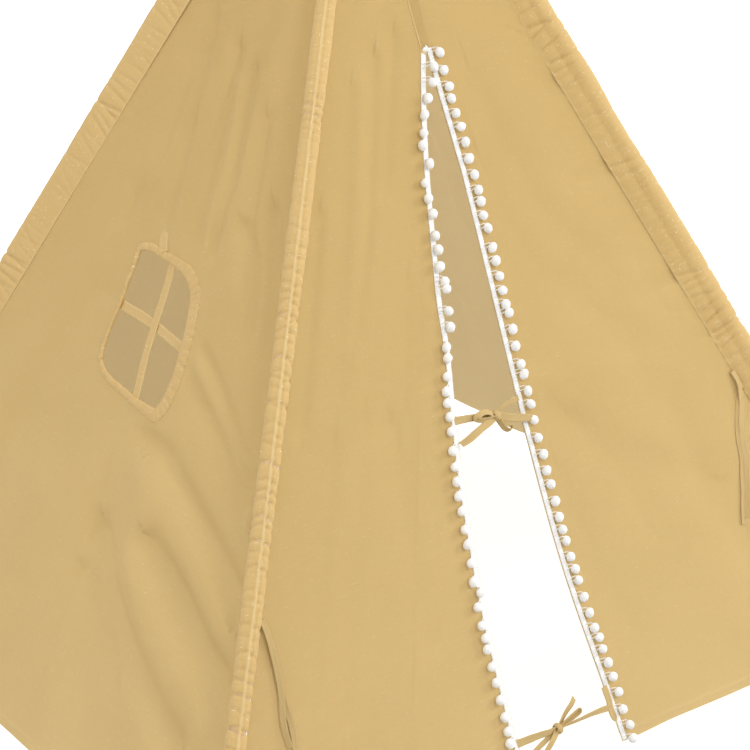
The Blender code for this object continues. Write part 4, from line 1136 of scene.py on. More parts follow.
def casing(name, wall):
    """A casing's skin. Across it runs from the sewn line over the pole and back underneath."""
    pole, creases = POLES[name], CREASES[name]
    start, end = CASING_HEM / pole.up.z, CANOPY_TOP / pole.up.z
    toward = wall.along * (1 if pole is wall.left else -1)
    toward = (toward - pole.up * toward.dot(pole.up)).normalized()
    rise = pole.up.cross(toward)
    if rise.dot(wall.normal) < 0:
        rise = -rise
    reach, loose = CASING_REACHES.get(name), CASING_LOOSE_SHARES.get(name, 0)
    lean = acos(SLEEVE_RADIUS / reach) if reach else 0
    flat = reach * sin(lean) if reach else 0
    around = SLEEVE_RADIUS * 2 * (pi - lean) * (1 + loose / 2)
    whole = 2 * flat + around

    def round_pole(angle, travel):
        """A place on the loose tube, and its way out from the pole."""
        waver = 1 + 0.22 * wander(travel * 9, angle * 0.6, pole.foot.x * 9)
        lip = loose * exp(-((angle - LIP_ANGLE) / LIP_SPREAD) ** 2) * waver
        way = toward * cos(angle) + rise * sin(angle)
        return way * (SLEEVE_RADIUS * (1 + lip)), way

    def place(across, along):
        travel = start + (end - start) * along
        step = across * whole
        soft = wander(travel * 22, step * 40, pole.foot.x * 9 + pole.foot.y * 5)
        if not reach:
            angle = step / SLEEVE_RADIUS
            seam = RIDGE_ANGLE - RIDGE_TURN * along + RIDGE_WAVER * wander(travel * 34, 0, 7)
            away = abs(angle - seam) * SLEEVE_RADIUS
            spread, way = round_pole(angle, travel)
            # The seam ridge's share raises the ridge and also marks it for a painted highlight.
            fold_and_highlight = exp(-(away / RIDGE_WIDTH) ** 2)
            lift = soft * ROUND_SOFT + RIDGE_HEIGHT * fold_and_highlight
            lift -= RIDGE_GROOVE * exp(-((away - 3 * RIDGE_WIDTH) / RIDGE_WIDTH) ** 2)
            lift -= creases.at(travel + 0.004 * (angle > seam), away) * (1 - 0.7 * fold_and_highlight)
        else:
            turn = min(step, whole - step)
            under = 1 if step < whole / 2 else -1
            if turn < flat:
                q = turn / flat
                ends, _ = round_pole(lean if under > 0 else 2 * pi - lean, travel)
                spread = toward * reach * (1 - q) + ends * q
                way = rise * under
                lift = CANVAS * (1 - q) + (CASING_SWELL * loose if under > 0 else 0) * sin(pi * q)
            else:
                spread, way = round_pole(lean + (step - flat) / around * 2 * (pi - lean), travel)
                lift = soft * CASING_SOFT * min(1, (turn - flat) / flat)
            # The folded edge is marked for a painted highlight.
            fold_and_highlight = exp(-(turn / CASING_EDGE) ** 2) * 0.7
            lift -= creases.at(travel, turn * 0.9) * smooth_step(turn / CASING_CALM)
        return pole.foot + pole.up * travel + spread + way * lift, (step, travel), fold_and_highlight

    rows = round((end - start) / CASING_STEP)
    bm = close_up(skin(CASING_COLUMNS, rows, place, mark="fold_and_highlight"))
    return bm, whole, end - start


for name, wall in (("front_left", LEFT), ("front_right", FRONT), ("back_right", BACK),
                   ("back_left", LEFT)):
    pole = POLES[name]
    bm, width, length = casing(name, wall)
    axis = pole.foot + pole.up * (length / 2)
    outside = max(bm.faces, key=lambda face: (face.calc_center_median() - axis).dot(pole.out))
    if outside.normal.dot(pole.out) < 0:
        bmesh.ops.reverse_faces(bm, faces=bm.faces[:])
    made = keep(name + "_casing", bm, CASING_CLOTH, pole.body, name + "_sleeve", smooth=pi / 2)
    thicken(made, -1)
    name + "_lower_dowel"

# Sewing. Every seam and hem is stitched with mustard polyester thread, 4.2 mm to a stitch: the
# hems all round, the casings' sewn lines, and the two rows up the front above the door.
STITCH_PITCH = 0.0042
STITCH_LENGTH = 0.003
THREAD_RADIUS = 0.00045
THREAD_SINK = 0.0003
SEWN_HEIGHT = HEM_HEIGHT + HEM_DEPTH - 0.0025
CASING_ROW_INSET = 0.0022
CASING_ROW_LIFT = 0.0011
SEAM_END = 0.002


def thread():
    """Polyester sewing thread, a shade paler than the canvas, with a slight shine."""
    spun = Finish("mustard_thread", "mustard_canvas")
    twist = spun.grain(spun.in_space(), 1500, 2)
    spun.paint(Base_Color=spun.mix(twist, (0.66, 0.50, 0.24, 1), (0.82, 0.65, 0.37, 1)),
               Roughness=0.55 + twist * 0.2)
    return spun


THREAD = thread()


class SeamRoute(Route):
    """A sewn line on a wall, through (along, height, offset) places."""

    def __init__(self, wall, places):
        self.wall = wall
        super().__init__([wall.point(*place) for place in places], steps=1)

    def holds(self, place):
        return self.wall.held(place.dot(self.wall.along), place.z)


def steps(start, end, pitch=0.006):
    count = max(2, round(abs(end - start) / pitch))
    return [start + (end - start) * k / count for k in range(count + 1)]


def stitches(bm, route, normal, thickness=THREAD_RADIUS):
    """A line of thread stitches along a route on a surface with this normal."""
    count = int(route.length / STITCH_PITCH)
    hold = bm.verts.layers.float.get("hold")
    for k in range(count):
        place, ahead, _ = route.frame((k + 0.5) / count)
        across = normal.cross(ahead).normalized()
        made = bmesh.ops.create_icosphere(bm, subdivisions=1, radius=1)["verts"]
        shape = Matrix((ahead * STITCH_LENGTH / 2, across * thickness,
                        ahead.cross(across) * thickness * 0.7))
        for vert in made:
            vert.co = place + shape.transposed() @ vert.co
            if hold:
                vert[hold] = route.holds(place)


def hem_route(wall, start, end):
    """The hem's sewn line between two places along a wall."""
    lift = CANVAS + turn_up(SEWN_HEIGHT) - THREAD_SINK
    return SeamRoute(wall, [(along, SEWN_HEIGHT, lift) for along in steps(start, end)])


for wall, word in ((LEFT, "left"), (RIGHT, "right"), (BACK, "back"), (FRONT, "front")):
    for side, pole in ((-1, wall.left), (1, wall.right)):
        start = hinge_line(side, SEWN_HEIGHT) if wall is FRONT else wall.middle(SEWN_HEIGHT)
        bm = bmesh.new()
        bm.verts.layers.float.new("hold")
        stitches(bm, hem_route(wall, start, wall.edge(pole, SEWN_HEIGHT)), wall.normal)
        sewn_in(keep(f"{word}_hem_stitches_by_{pole.name}", bm, THREAD), pole)
for side, word in ((-1, "left"), (1, "right")):
    bm = bmesh.new()
    ends = hinge_line(side, SEWN_HEIGHT), canvas_door_edge(side, SEWN_HEIGHT)
    stitches(bm, hem_route(FRONT, *ends), FRONT.normal)
    keep(f"door_{word}_flap_hem_stitches", bm, THREAD, f"flap_{word}")
for name, wall in (("front_right", FRONT), ("back_right", BACK), ("back_left", LEFT)):
    pole = POLES[name]
    inset = CASING_REACHES[name] - CASING_ROW_INSET
    route = SeamRoute(wall, [(wall.edge(pole, z, inset), z, CASING_ROW_LIFT)
                             for z in steps(CASING_HEM + SEAM_END, CANOPY_TOP - SEAM_END)])
    bm = bmesh.new()
    stitches(bm, route, wall.normal)
    keep(name + "_casing_stitches", bm, THREAD, pole.body)

# Centre seam. Above the door the front's left half is folded and lapped over the right one, and
# stitched down on a tape that lies inside. The lap widens upwards between its two sewn lines.
SEAM_TAPE_WIDTH = 0.02
SEAM_TAPE = 0.0012
SEAM_ROW = 0.0055
SEAM_FLARE = 0.055
SEAM_LAP_END = 0.09
SEAM_START = 0.004
SEAM_THREAD_RADIUS = 0.0005
SEAM_FOLD_WIDTH = 0.0016
SEAM_FOLD = 0.0009
SEAM_FOLD_HIGHLIGHT = 0.25
STRIP_STEP = 0.004
STRIP_SIDES = 12


def front_strip(places, width, thickness, highlight=0.0):
    """A flat strip of cloth on the front through (along, height, offset) places, marked all over for a
    painted highlight of the given share.
    """
    route = Route([FRONT.point(*place) for place in places], steps=4)

    def place(around, share):
        middle, ahead, _ = route.frame(share)
        wide = FRONT.normal.cross(ahead).normalized()
        thick = ahead.cross(wide)
        angle = 2 * pi * around
        across = copysign(abs(cos(angle)) ** 0.4, cos(angle)) * width / 2
        lift = copysign(abs(sin(angle)) ** 0.4, sin(angle)) * thickness / 2
        return middle + wide * across + thick * lift, (across, route.length * share), highlight

    rows = max(4, round(route.length / STRIP_STEP))
    return skin(STRIP_SIDES, rows, place, wrap=True, mark="fold_and_highlight")


tape = front_strip([(DOOR_CENTRE, z, -(CANVAS + SEAM_TAPE) / 2 - CLEARANCE)
                    for z in steps(DOOR_TOP + CLEARANCE, CANOPY_TOP, 0.03)], SEAM_TAPE_WIDTH, SEAM_TAPE)
keep("centre_seam_backing", tape, CLOTH, "crown", "centre_seam_tape")
rows = bmesh.new()
for side in (-1, 1):
    way = [(DOOR_CENTRE + side * (SEAM_ROW + SEAM_FLARE * min(SEAM_LAP_END, z - DOOR_TOP)), z)
           for z in steps(DOOR_TOP + SEAM_START, CANOPY_TOP - SEAM_END)]
    route = SeamRoute(FRONT, [(*place, CANVAS / 2 + THREAD_SINK) for place in way])
    stitches(rows, route, FRONT.normal, SEAM_THREAD_RADIUS)
    if side < 0:
        # The lap's folded edge gets a painted highlight.
        fold = front_strip([(*place, CANVAS / 2) for place in way[::5]], SEAM_FOLD_WIDTH, SEAM_FOLD,
                           SEAM_FOLD_HIGHLIGHT)
        keep("centre_seam_fold", fold, CASING_CLOTH, "crown")
keep("centre_seam_stitches", rows, THREAD, "crown")

# Door trim. A narrow white crocheted braid is sewn on each edge of the door, and from it hang
# brushed cotton pom-poms on short thread loops, about one every 20 mm. Some have flopped over it.
BRAID_THICKNESS = 0.0016
POMPOM_RADIUS = 0.0063
POMPOM_PITCH = 0.0205
POMPOM_REACH = 0.0085
FOLD_ZONE = 0.14
BRAID_STITCH = 0.0038
BRAID_STEP = 0.0013
BRAID_SIDES = 12
POMPOM_DROP = 0.0015
LOOP_THREAD_RADIUS = 0.0007
# The uppermost balls' heights, and how far out the left ones hang as shares of the usual reach
POMPOM_HEIGHTS = {
    -1: (0.8944, 0.8781, 0.857, 0.8384, 0.8192, 0.8026, 0.7798, 0.7577, 0.7402, 0.7205, 0.6934, 0.6769,
         0.657, 0.6398, 0.6281, 0.6034, 0.584, 0.5614, 0.5477, 0.5269, 0.5104),
    1: (0.9121, 0.8878, 0.8686, 0.8522, 0.8335, 0.816, 0.796, 0.7767, 0.7573, 0.7369, 0.7218, 0.7049,
        0.6881, 0.6637, 0.6463, 0.6296, 0.6104, 0.5938, 0.5808, 0.56, 0.5399, 0.5184, 0.5052, 0.4838)}
LEFT_HANG_SHARES = (-0.66, -0.43, 0.05, 0.46, 0.64, 0.76, 0.18, 0.77, 0.59, 0.27, 0.19, 0.03, 0.09,
                    -0.31, -0.44, -0.34, -0.23, 0.54, 0.54, 0.76, 1.0)
# The left braid's top end goes over the right one: along, up and out, in widths of the braid
BRAID_CURL_SHARES = ((0.95, -0.02, 0.30), (0.45, -0.30, 0.20), (0.12, -0.80, 0.05))


def crochet():
    """White crocheted yarn: a chain of plump stitches with painted shade between them."""
    yarn = Finish("white_braid", "white_trim")
    place = yarn.on_cloth()
    stitch = yarn.node("TexWave", {"wave_type": "BANDS", "bands_direction": "Y"},
                       {"Vector": place, "Scale": 110.0, "Distortion": 3.0, "Detail": 1.0,
                        "Detail Scale": 2.0}, out="Fac")
    fluff = yarn.grain(place, 900, 3)
    tone = stitch * 0.65 + fluff * 0.35
    yarn.paint(Base_Color=yarn.mix(tone, (0.93, 0.91, 0.87, 1), (0.985, 0.98, 0.97, 1)),
               Roughness=0.9, Sheen_Weight=0.15)
    yarn.relief(tone, 0.0008, 0.8)
    return yarn


def brushed():
    """Brushed cotton yarn: a soft ball of fine fibres, with a faint warm painted shade in its hollows."""
    yarn = Finish("white_pompom", "white_trim")
    place = yarn.in_space()
    clumps = yarn.grain(place, 420, 3)
    fibres = yarn.grain(place, 2600, 2)
    tone = yarn.step(clumps, 0.25, 0.6) * 0.7 + fibres * 0.3
    yarn.paint(Base_Color=yarn.mix(tone, (0.94, 0.93, 0.90, 1), (0.985, 0.985, 0.98, 1)),
               Roughness=0.95, Sheen_Weight=0.3)
    yarn.relief(clumps * 0.5 + fibres * 0.5, 0.0005, 0.6)
    return yarn


BRAID, POMPOM = crochet(), brushed()


def braid_strip(side, start, end):
    """The braid between two heights, scalloped on its outer side by its stitches."""
    places = [FRONT.point(door_edge(side, z) + side * BRAID_WIDTH / 2, z, CANVAS / 2 + BRAID_THICKNESS / 3)
              for z in steps(start, end, 0.01)]
    curled = side < 0 and start > DOOR_TOP
    if curled:
        tip = places.pop(0)
        places[:0] = [tip + (FRONT.along * across + Z * up + FRONT.normal * out) * BRAID_WIDTH
                      for across, up, out in BRAID_CURL_SHARES]
    route = Route(places, steps=4 if curled else 2)

    def place(around, share):
        middle, ahead, _ = route.frame(share)
        wide = FRONT.normal.cross(ahead).normalized()
        angle = 2 * pi * around
        travel = route.length * share
        plump = 1 + 0.16 * sin(2 * pi * travel / BRAID_STITCH)
        across = cos(angle) * BRAID_WIDTH * 0.58 * plump
        lift = sin(angle) * BRAID_THICKNESS * 0.65 * (1 + 0.35 * cos(2 * angle)) * plump
        return middle + wide * across + FRONT.normal * lift, (across, travel)

    return skin(BRAID_SIDES, max(6, round(route.length / BRAID_STEP)), place, wrap=True)


def pompom_heights(side):
    """The balls' places down a door edge, a little uneven, from the top of the slit to the hem."""
    uneven = random.Random(33 + side)
    heights = list(POMPOM_HEIGHTS[side])
    while heights[-1] > HEM_HEIGHT + 2.2 * POMPOM_RADIUS:
        height = heights[-1]
        step = FRONT.plane(door_edge(side, height - POMPOM_RADIUS), height - POMPOM_RADIUS)
        here = FRONT.plane(door_edge(side, height), height)
        heights.append(height - POMPOM_PITCH * uneven.uniform(0.8, 1.2) * POMPOM_RADIUS
                       / (step - here).length)
    return heights


def thread_loop(bm, points):
    """A short loop of thread through a few points."""
    route = Route(points, steps=3)

    def place(around, share):
        middle, ahead, side = route.frame(share)
        angle = 2 * pi * around
        ring = (side * cos(angle) + ahead.cross(side) * sin(angle)) * LOOP_THREAD_RADIUS
        return middle + ring, (LOOP_THREAD_RADIUS * angle, route.length * share)

    join(bm, skin(5, 6, place, wrap=True))


def hang_pompom(balls, loops, side, height, swing, hang):
    """A ball that hangs at a height beside, or lies on, the braid, and the loop that holds it."""
    away = swing * (BRAID_WIDTH + POMPOM_REACH)
    over = 1 - smooth_step((abs(away - BRAID_WIDTH / 2) - BRAID_WIDTH) / BRAID_WIDTH)
    lift = CANVAS / 2 + POMPOM_RADIUS * 0.92 + BRAID_THICKNESS * 0.6 * over
    centre = FRONT.point(door_edge(side, height) + side * away, height - POMPOM_DROP + hang, lift)
    made = bmesh.ops.create_icosphere(balls, subdivisions=3, radius=1)["verts"]
    squash = Matrix.Diagonal((draw.uniform(0.90, 1.06), draw.uniform(0.9, 1.0),
                              draw.uniform(1.0, 1.22)))
    squash = Matrix.Rotation(draw.uniform(-0.6, 0.6), 3, FRONT.normal) @ squash
    seed = draw.uniform(0, 90)
    for vert in made:
        tuft = noise.noise(vert.co * 2.3 + Vector((seed, 0, 0))) * 0.09
        tuft += noise.noise(vert.co * 6.5 + Vector((0, seed, 0))) * 0.06
        vert.co = centre + squash @ vert.co * (POMPOM_RADIUS * (1 + tuft))
    for gap in (-0.4, 1.3):
        root_height = min(height + gap * 0.003, DOOR_TOP)
        root = FRONT.point(door_edge(side, root_height) + side * BRAID_WIDTH * 0.8,
                           root_height, CANVAS / 2 + BRAID_THICKNESS / 2)
        top = centre + Z * POMPOM_RADIUS * 0.8
        bow = (root + top) / 2 + Z * (0.0012 + gap * 0.0010)
        thread_loop(loops, [root, bow, top, centre])


draw = random.Random(21)
for side, word in ((-1, "left"), (1, "right")):
    for stretch, start, end, body in (
            ("top", DOOR_TOP + 0.002, FLAP_TOP, "crown"),
            ("fold", FLAP_TOP, FLAP_TOP - FOLD_ZONE, "flap_" + word),
            ("low", FLAP_TOP - FOLD_ZONE, HEM_HEIGHT + 0.001, "flap_" + word)):
        keep(f"door_braid_{word}_{stretch}", braid_strip(side, start, end), BRAID, body,
             f"door_trim_{word}_{stretch}", smooth=pi / 2)
        balls, loops = bmesh.new(), bmesh.new()
        for k, height in enumerate(pompom_heights(side)):
            swing = draw.uniform(0.86, 1.05) if draw.random() > 0.12 else draw.uniform(0.3, 0.6)
            hang = draw.uniform(-0.0022, 0.0010)
            if side > 0:
                swing = max(0.86, swing)
            elif k < len(LEFT_HANG_SHARES):
                swing = LEFT_HANG_SHARES[k]
            if end < height < start:
                hang_pompom(balls, loops, side, height, swing, hang)
        keep(f"pompoms_{word}_{stretch}", balls, POMPOM, body, smooth=pi)
        keep(f"pompom_threads_{word}_{stretch}", loops, BRAID, body, smooth=pi)

# Window. A rounded opening in the left side is bound with a bias strip of the same canvas, wide
# on its front side, and closed by two narrow strips sewn across inside. A strap end stands over it.
WINDOW_BINDING = 0.0235
WINDOW_ROLL = 0.0105
WINDOW_BAR_WIDTH = 0.0135
BINDING_PLUMP = 0.0021
BINDING_ROUND = 0.0008
BINDING_EASE = 0.0012
BINDING_ROW_INSET = 0.0022
BINDING_SIDES = 20
BINDING_STEPS = 300
BACK_TIE_WIDTH = 0.009
TAPE = 0.0012
TAPE_STEP = 0.0016
TAPE_SIDES = 18
# The strips' places down and across the opening, as (along, height)
UPRIGHT_WAY = ((0.0405, 0.648), (0.0425, 0.633), (0.0455, 0.600), (0.0475, 0.567), (0.052, 0.524),
               (0.0605, 0.480), (0.063, 0.466))
LEVEL_WAY = ((-0.044, 0.5692), (-0.027, 0.5676), (0.010, 0.5668), (0.048, 0.5645), (0.085, 0.5604),
             (0.1185, 0.5570), (0.134, 0.5556))
ring_places = window_outline(0)
binding_route = Route([LEFT.point(*place) for place in ring_places + ring_places[:1]], steps=2)
window_middle = LEFT.point(WINDOW_ALONG, WINDOW_HEIGHT)
binding_creases = Creases(17, 0.011, 0.0030)


def binding(around, share):
    """The binding's cross-section: a flattened roll from the frame's outline to the opening."""
    rim, ahead, _ = binding_route.frame(share)
    inwards = LEFT.normal.cross(ahead).normalized()
    if inwards.dot(window_middle - rim) < 0:
        inwards = -inwards
    turn = 2 * pi * share
    from_middle = rim - window_middle
    wide = smooth_step(0.1 + 1.7 * from_middle.dot(LEFT.along) / WINDOW_WIDTH
                       + 0.24 * from_middle.z / (WINDOW_LENGTH * LEFT.rise))
    ends = min(1, abs(from_middle.z) / (WINDOW_LENGTH * LEFT.rise / 2))
    roll = WINDOW_ROLL * (0.55 + 0.6 * ends * ends)
    width = roll + (WINDOW_BINDING - roll) * wide
    travel = binding_route.length * share
    angle = 2 * pi * around
    ease = wander(cos(turn) * 4, sin(turn) * 4, 2.0) * BINDING_EASE
    across = (1 - cos(angle)) / 2 * width
    plump = BINDING_PLUMP + BINDING_ROUND * (1 - wide)
    lift = sin(angle) * plump
    if sin(angle) > 0:
        lift -= binding_creases.at(travel, across) * sin(angle) * 0.9
    return (rim + inwards * (across + ease) + LEFT.normal * lift, (across, travel))


bound = close_up(skin(BINDING_SIDES, BINDING_STEPS, binding))
keep("window_bias_binding", bound, CASING_CLOTH, "crown", "window_binding", smooth=pi)
seam = bmesh.new()
inner_ring = [LEFT.point(*place, BINDING_PLUMP) for place in window_outline(BINDING_ROW_INSET)]
stitches(seam, Route(inner_ring + inner_ring[:1], steps=2), LEFT.normal)
keep("window_stitches", seam, THREAD, "crown")


def folded_tape(points, width, thickness, out, twist=(0, 0), tip=0.0, flare=0.0):
    """A narrow strap folded from canvas, thicker along its two folds, as a closed strip. It lies
    with its flat side out, turned by twist at its start and end. Its last share, the tip, is
    rounded off; its width can flare towards that end."""
    route = Route(points, steps=6)
    first, last = twist

    def place(around, share):
        middle, ahead, _ = route.frame(share)
        wide = out.cross(ahead).normalized()
        wide = Matrix.Rotation(first + (last - first) * share, 3, ahead) @ wide
        thick = ahead.cross(wide)
        angle = 2 * pi * around
        across = copysign(abs(cos(angle)) ** 0.5, cos(angle))
        lift = copysign(abs(sin(angle)) ** 0.7, sin(angle))
        edge = 0.65 + 0.5 * smooth_step((abs(across) - 0.45) / 0.3)
        wobble = noise.noise(middle * 90 + Vector((0, 0, width * 900)))
        spread = width / 2 * (1 + 0.07 * wobble) * (1 + flare * (2 * share - 1))
        if share > 1 - tip:
            spread *= sqrt(max(0.01, 1 - ((share - 1 + tip) / tip) ** 2))
        # Its last value marks the two folded edges for a painted highlight.
        return (middle + wide * across * spread + thick * (lift * edge * thickness / 2),
                (across * width / 2, route.length * share),
                0.6 * smooth_step((abs(across) - 0.72) / 0.2))

    return skin(TAPE_SIDES, max(6, round(route.length / TAPE_STEP)), place, wrap=True, mark="fold_and_highlight")


upright = [LEFT.point(*place, -CANVAS - TAPE / 2) for place in UPRIGHT_WAY]
keep("window_upright_strip", folded_tape(upright, WINDOW_BAR_WIDTH * 1.1, 1.5 * TAPE, LEFT.normal),
     CASING_CLOTH, "crown", "window_bar_upright")
level = [LEFT.point(*place, -CANVAS - TAPE * 1.9) for place in LEVEL_WAY]
keep("window_level_strip", folded_tape(level, WINDOW_BAR_WIDTH, TAPE, LEFT.normal), CASING_CLOTH,
     "crown", "window_bar_level")
tab = [LEFT.point(0.0155 - 0.006 * k, 0.650 + 0.0080 * k, 0.0013) for k in range(4)]
keep("window_strap_end", folded_tape(tab, 2 * BACK_TIE_WIDTH, TAPE, LEFT.normal, tip=0.3), CASING_CLOTH,
     "crown", "window_tab")

# Door ties. Two pairs of straps, folded lengthwise from the same canvas and stitched, are sewn to
# the door's edges and tied in half bows: a knot with one loop, and tails with blunt ends.
BOW_KNOT = 0.0092
KNOT_FOLD = 0.0014
TIE_ROOT = 0.002


def strap_cloth():
    """The straps' canvas, a little deeper in tone than the cover's."""
    cloth = Finish("mustard_strap", "mustard_tape")
    place = cloth.on_cloth()
    warp = cloth.streaks(place, (1300, 90, 1))
    weft = cloth.streaks(place, (90, 1300, 1))
    tone = 0.5 + (warp - 0.5) * 0.8 + (weft - 0.5) * 0.6
    cloth.paint(Base_Color=cloth.mix(tone, (0.52, 0.365, 0.145, 1), (0.66, 0.480, 0.215, 1)),
                Roughness=0.84 + warp * 0.12, Sheen_Weight=0.08)
    cloth.relief(warp * 0.5 + weft * 0.5, 0.0004, 0.7)
    return cloth


STRAP = strap_cloth()


def wrap_knot(bm, centre, size):
    """The knot: the strap wound once about the crossing, with its folds showing."""
    out = FRONT.normal
    for lean, girth in ((0.35, 1.0), (-0.5, 0.86)):
        axis = (Matrix.Rotation(lean, 3, out) @ FRONT.along).normalized()
        across = out.cross(axis).normalized()

        def place(around, share):
            turn = 2 * pi * share
            angle = 2 * pi * around
            reach = out * sin(turn) * size * 0.62 + across * cos(turn) * size * 0.72
            spine = centre + reach * girth
            thick = reach.normalized()
            crumple = 1 + 0.14 * sin(3 * turn + lean * 9) + 0.1 * sin(5 * turn)
            wide = cos(angle) * size * 0.42 * crumple
            return spine + axis * wide + thick * sin(angle) * KNOT_FOLD, (wide, size * turn)

        join(bm, close_up(skin(12, 24, place)))


def tie(name, straps, body, stands_for, knot=None):
    """Straps as (places, width, turns at the start and the end, tip, flare), and a knot."""
    bm = bmesh.new()
    for places, width, *twist, tip, flare in straps:
        points = [FRONT.point(*place) for place in places]
        join(bm, folded_tape(points, width, TAPE * 1.25, FRONT.normal, twist, tip, flare))
    if knot:
        wrap_knot(bm, FRONT.point(*knot), BOW_KNOT)
    keep(name, bm, STRAP, body, stands_for, smooth=pi / 3)


UPPER_KNOT = (-0.037, 0.4625, 0.004)
LOWER_KNOT = (-0.0585, 0.0714, 0.004)
upper_left = (door_edge(-1, UPPER_KNOT[1]) - TIE_ROOT, 0.4705, 0.0015)
upper_right = (door_edge(1, UPPER_KNOT[1]) + TIE_ROOT / 2, 0.4758, 0.0015)
lower_left = (door_edge(-1, LOWER_KNOT[1]) - TIE_ROOT, 0.0730, 0.0015)
lower_right = (door_edge(1, LOWER_KNOT[1]), 0.0711, 0.0035)
tie("door_bow_upper", [
    ([upper_left, (-0.0763, 0.4685, 0.004), (-0.0569, 0.465, 0.005), UPPER_KNOT],
     0.0100, 0.1, 0.5, 0, -0.15),
    ([UPPER_KNOT, (-0.0487, 0.4587, 0.007), (-0.0637, 0.4546, 0.009), (-0.0791, 0.4493, 0.009),
      (-0.0908, 0.4445, 0.007), (-0.1037, 0.4413, 0.006)], 0.0105, 0.0, 0.9, 0, 0),
    ([UPPER_KNOT, (-0.0546, 0.4708, 0.010), (-0.0672, 0.4706, 0.012), (-0.0735, 0.4664, 0.010),
      (-0.0630, 0.4622, 0.009), (-0.0400, 0.4610, 0.006)], 0.0092, 0.5, 1.0, 0, 0),
    ([UPPER_KNOT, (-0.0153, 0.4550, 0.008), (0.0042, 0.4506, 0.009), (0.0203, 0.4461, 0.008),
      (0.0283, 0.4437, 0.007)], 0.0112, 0.1, 0.3, 0.6, 0),
    ([UPPER_KNOT, (-0.0309, 0.4446, 0.009), (-0.0216, 0.4413, 0.009), (-0.0184, 0.4456, 0.007),
      (-0.0256, 0.4504, 0.005), (-0.0370, 0.4560, 0.003)], 0.0095, 1.0, 1.3, 0, 0)],
    "flap_left", "door_tie_upper_left", UPPER_KNOT)
tie("door_strap_upper", [
    ([(-0.0335, 0.4660, 0.0025), (-0.0186, 0.4716, 0.002), (-0.0057, 0.4738, 0.002), upper_right],
     0.0075, 0.5, 0.1, 0, 0.1)],
    "flap_right", "door_tie_upper_right")
tie("door_bow_lower", [
    ([lower_left, (-0.0933, 0.0724, 0.004), (-0.0761, 0.0716, 0.005), LOWER_KNOT],
     0.0105, 0.1, 0.5, 0, -0.15),
    ([LOWER_KNOT, (-0.0447, 0.0863, 0.008), (-0.0311, 0.0950, 0.009), (-0.0222, 0.1001, 0.006)],
     0.0088, 0.5, 0.2, 0, 0.1),
    ([LOWER_KNOT, (-0.0390, 0.0820, 0.011), (-0.0249, 0.0868, 0.013), (-0.0237, 0.0822, 0.010),
      (-0.0365, 0.0777, 0.007), (-0.0560, 0.0720, 0.005)], 0.0080, 0.7, 1.1, 0, 0),
    ([LOWER_KNOT, (-0.0744, 0.0609, 0.008), (-0.0838, 0.0537, 0.007), (-0.0932, 0.0464, 0.005)],
     0.0085, 0.3, -0.2, 0, 0),
    ([LOWER_KNOT, (-0.0750, 0.0650, 0.002), (-0.0867, 0.0609, 0.002), (-0.0984, 0.0569, 0.002),
      (-0.1080, 0.0525, 0.002)], 0.0070, 0.9, 0.4, 0, 0)],
    "flap_left", "door_tie_lower_left", LOWER_KNOT)
tie("door_strap_lower", [
    ([(-0.0540, 0.0712, 0.003), (-0.0264, 0.0718, 0.004), (-0.0046, 0.0723, 0.004),
      (0.0153, 0.0722, 0.004), lower_right], 0.0072, 0.9, 0.1, 0, 0.35),
    ([(0.0335, 0.0985, 0.0035), (0.0360, 0.0812, 0.0035), (0.0365, 0.0655, 0.0035),
      (0.0410, 0.0524, 0.0030)], 0.0100, 0, 0, 0.15, 0)],
    "flap_right", "door_tie_lower_right")

# Tie-backs. A doubled strap is sewn into each front casing's seam, to hold the folded flap open;
# its two strands hang down beside the pole, a little twisted.
STRAND_LIFT = 0.0020
STRAND_GAP = 0.0030
STRAND_REST = 0.001
TIE_BACK_WAYS = {
    "left": (((-0.4570, 0.3230), (-0.4532, 0.3032), (-0.4528, 0.2639), (-0.4532, 0.2250),
              (-0.4515, 0.1991), (-0.4525, 0.1806), (-0.4560, 0.1600)),
             ((-0.4570, 0.3210), (-0.4540, 0.3000), (-0.4535, 0.2640), (-0.4560, 0.2350),
              (-0.4614, 0.2120), (-0.4640, 0.1930), (-0.4620, 0.1722))),
    "right": (((0.3968, 0.4258), (0.4007, 0.4117), (0.4040, 0.3980), (0.3950, 0.3815),
               (0.3847, 0.3589), (0.3776, 0.3357), (0.3750, 0.3113), (0.3675, 0.2886),
               (0.3618, 0.2654), (0.3562, 0.2495), (0.3510, 0.2277)),
              ((0.3968, 0.4248), (0.4030, 0.4060), (0.3985, 0.3800), (0.3880, 0.3560),
               (0.3830, 0.3330), (0.3815, 0.3150), (0.3740, 0.2920), (0.3680, 0.2680),
               (0.3625, 0.2500), (0.3580, 0.2350)))}
for word, ways in TIE_BACK_WAYS.items():
    strands = []
    for strand, way in enumerate(ways):
        lift = STRAND_LIFT + STRAND_GAP * strand
        places = [(*way[0], lift), *((x, y, lift + STRAND_REST) for x, y in way[1:])]
        strands.append((places, 0.0080, 0.9 - strand * 0.9, 0.1 + strand * 0.7, 0, 0))
    tie("tie_back_strap_" + word, strands, POLES["front_" + word].body, "tie_back_" + word)

# The studio: a pale floor, a white surround that the camera sees, even light with a soft lamp on
# each side of the tent, and the camera where the photograph was taken from.
FLOOR_SIZE = 30.0
FLOOR_GLOW = 0.86
SKY_LIGHT = 0.67
LAMPS = (("right", (4.2, -2.4, 2.6), 1.6, 92), ("front", (0.4, -4.0, 4.0), 1.2, 80),
         ("left", (-3.6, 0.6, 3.4), 1.2, 53), ("back", (3.0, 3.0, 3.0), 1.2, 84))
LAMP_AIM = Vector((0, 0, 0.5))
CAMERA_PLACE = (-1.69398, -2.33986, 1.56851)
CAMERA_AZIMUTH = -0.6391
CAMERA_ELEVATION = 0.38763
CAMERA_LENS = 100.8


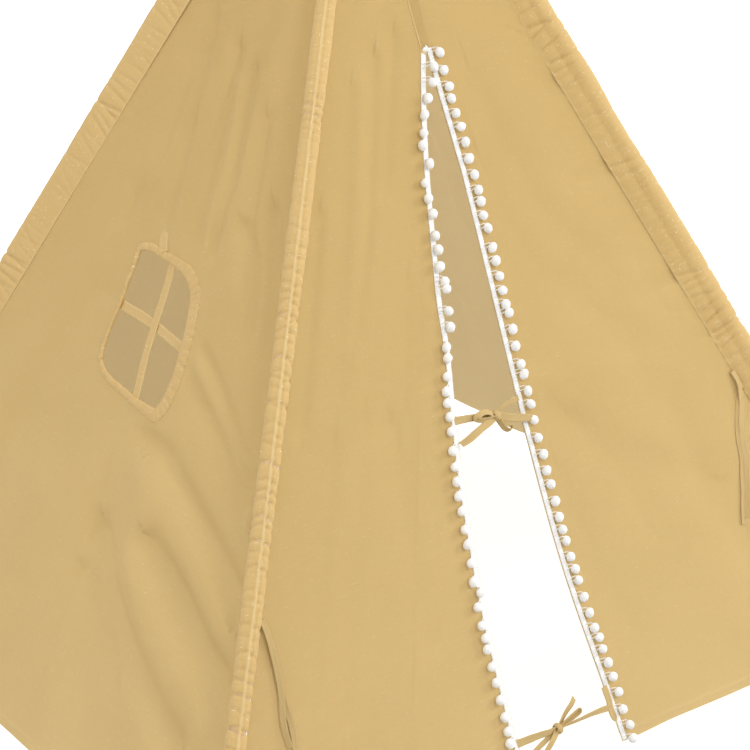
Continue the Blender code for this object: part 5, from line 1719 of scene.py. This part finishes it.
def seen(nodes):
    """1 on rays from the camera, also where they come by way of gloss or glass."""
    path = nodes.node("LightPath", out="Is Camera Ray")
    either = nodes.node("Math", {"operation": "MAXIMUM"}, {0: path, 1: path.out("Is Glossy Ray")})
    return nodes.node("Math", {"operation": "MAXIMUM"}, {0: either, 1: path.out("Is Transmission Ray")})


ground = bmesh.new()
bmesh.ops.create_grid(ground, x_segments=1, y_segments=1, size=FLOOR_SIZE / 2)
floor_mesh = bpy.data.meshes.new("floor")
ground.to_mesh(floor_mesh)
ground.free()
floor = bpy.data.objects.new("floor", floor_mesh)
bpy.context.scene.collection.objects.link(floor)
pale = Finish("pale_floor")
pale.paint(Base_Color=(0.58, 0.58, 0.58, 1), Roughness=0.9, Specular_IOR_Level=0.0,
           Emission_Color=(1, 1, 1, 1), Emission_Strength=seen(pale) * FLOOR_GLOW)
floor_mesh.materials.append(pale.material)

world = bpy.data.worlds.new("studio")
bpy.context.scene.world = world
world.use_nodes = True
air = Nodes(world.node_tree)
strength = air.node("MapRange", None, {"Value": seen(air), "To Min": SKY_LIGHT})
air.plug(air.tree.nodes["Background"], {"Strength": strength, "Color": (1, 1, 1, 1)})

for name, place, size, power in LAMPS:
    light = bpy.data.lights.new(name, "AREA")
    light.shape = "DISK"
    light.size = size
    light.energy = power
    lamp = bpy.data.objects.new(name, light)
    lamp.location = place
    lamp.rotation_euler = (LAMP_AIM - lamp.location).to_track_quat("-Z", "Y").to_euler()
    bpy.context.scene.collection.objects.link(lamp)

eye = bpy.data.cameras.new("camera")
eye.lens = CAMERA_LENS
eye.sensor_width = 36
camera = bpy.data.objects.new("camera", eye)
camera.location = CAMERA_PLACE
back = Vector((sin(CAMERA_AZIMUTH) * cos(CAMERA_ELEVATION),
               -cos(CAMERA_AZIMUTH) * cos(CAMERA_ELEVATION), sin(CAMERA_ELEVATION)))
camera.rotation_euler = (-back).to_track_quat("-Z", "Y").to_euler()
bpy.context.scene.collection.objects.link(camera)
bpy.context.scene.camera = camera
bpy.context.scene.view_settings.view_transform = "Standard"
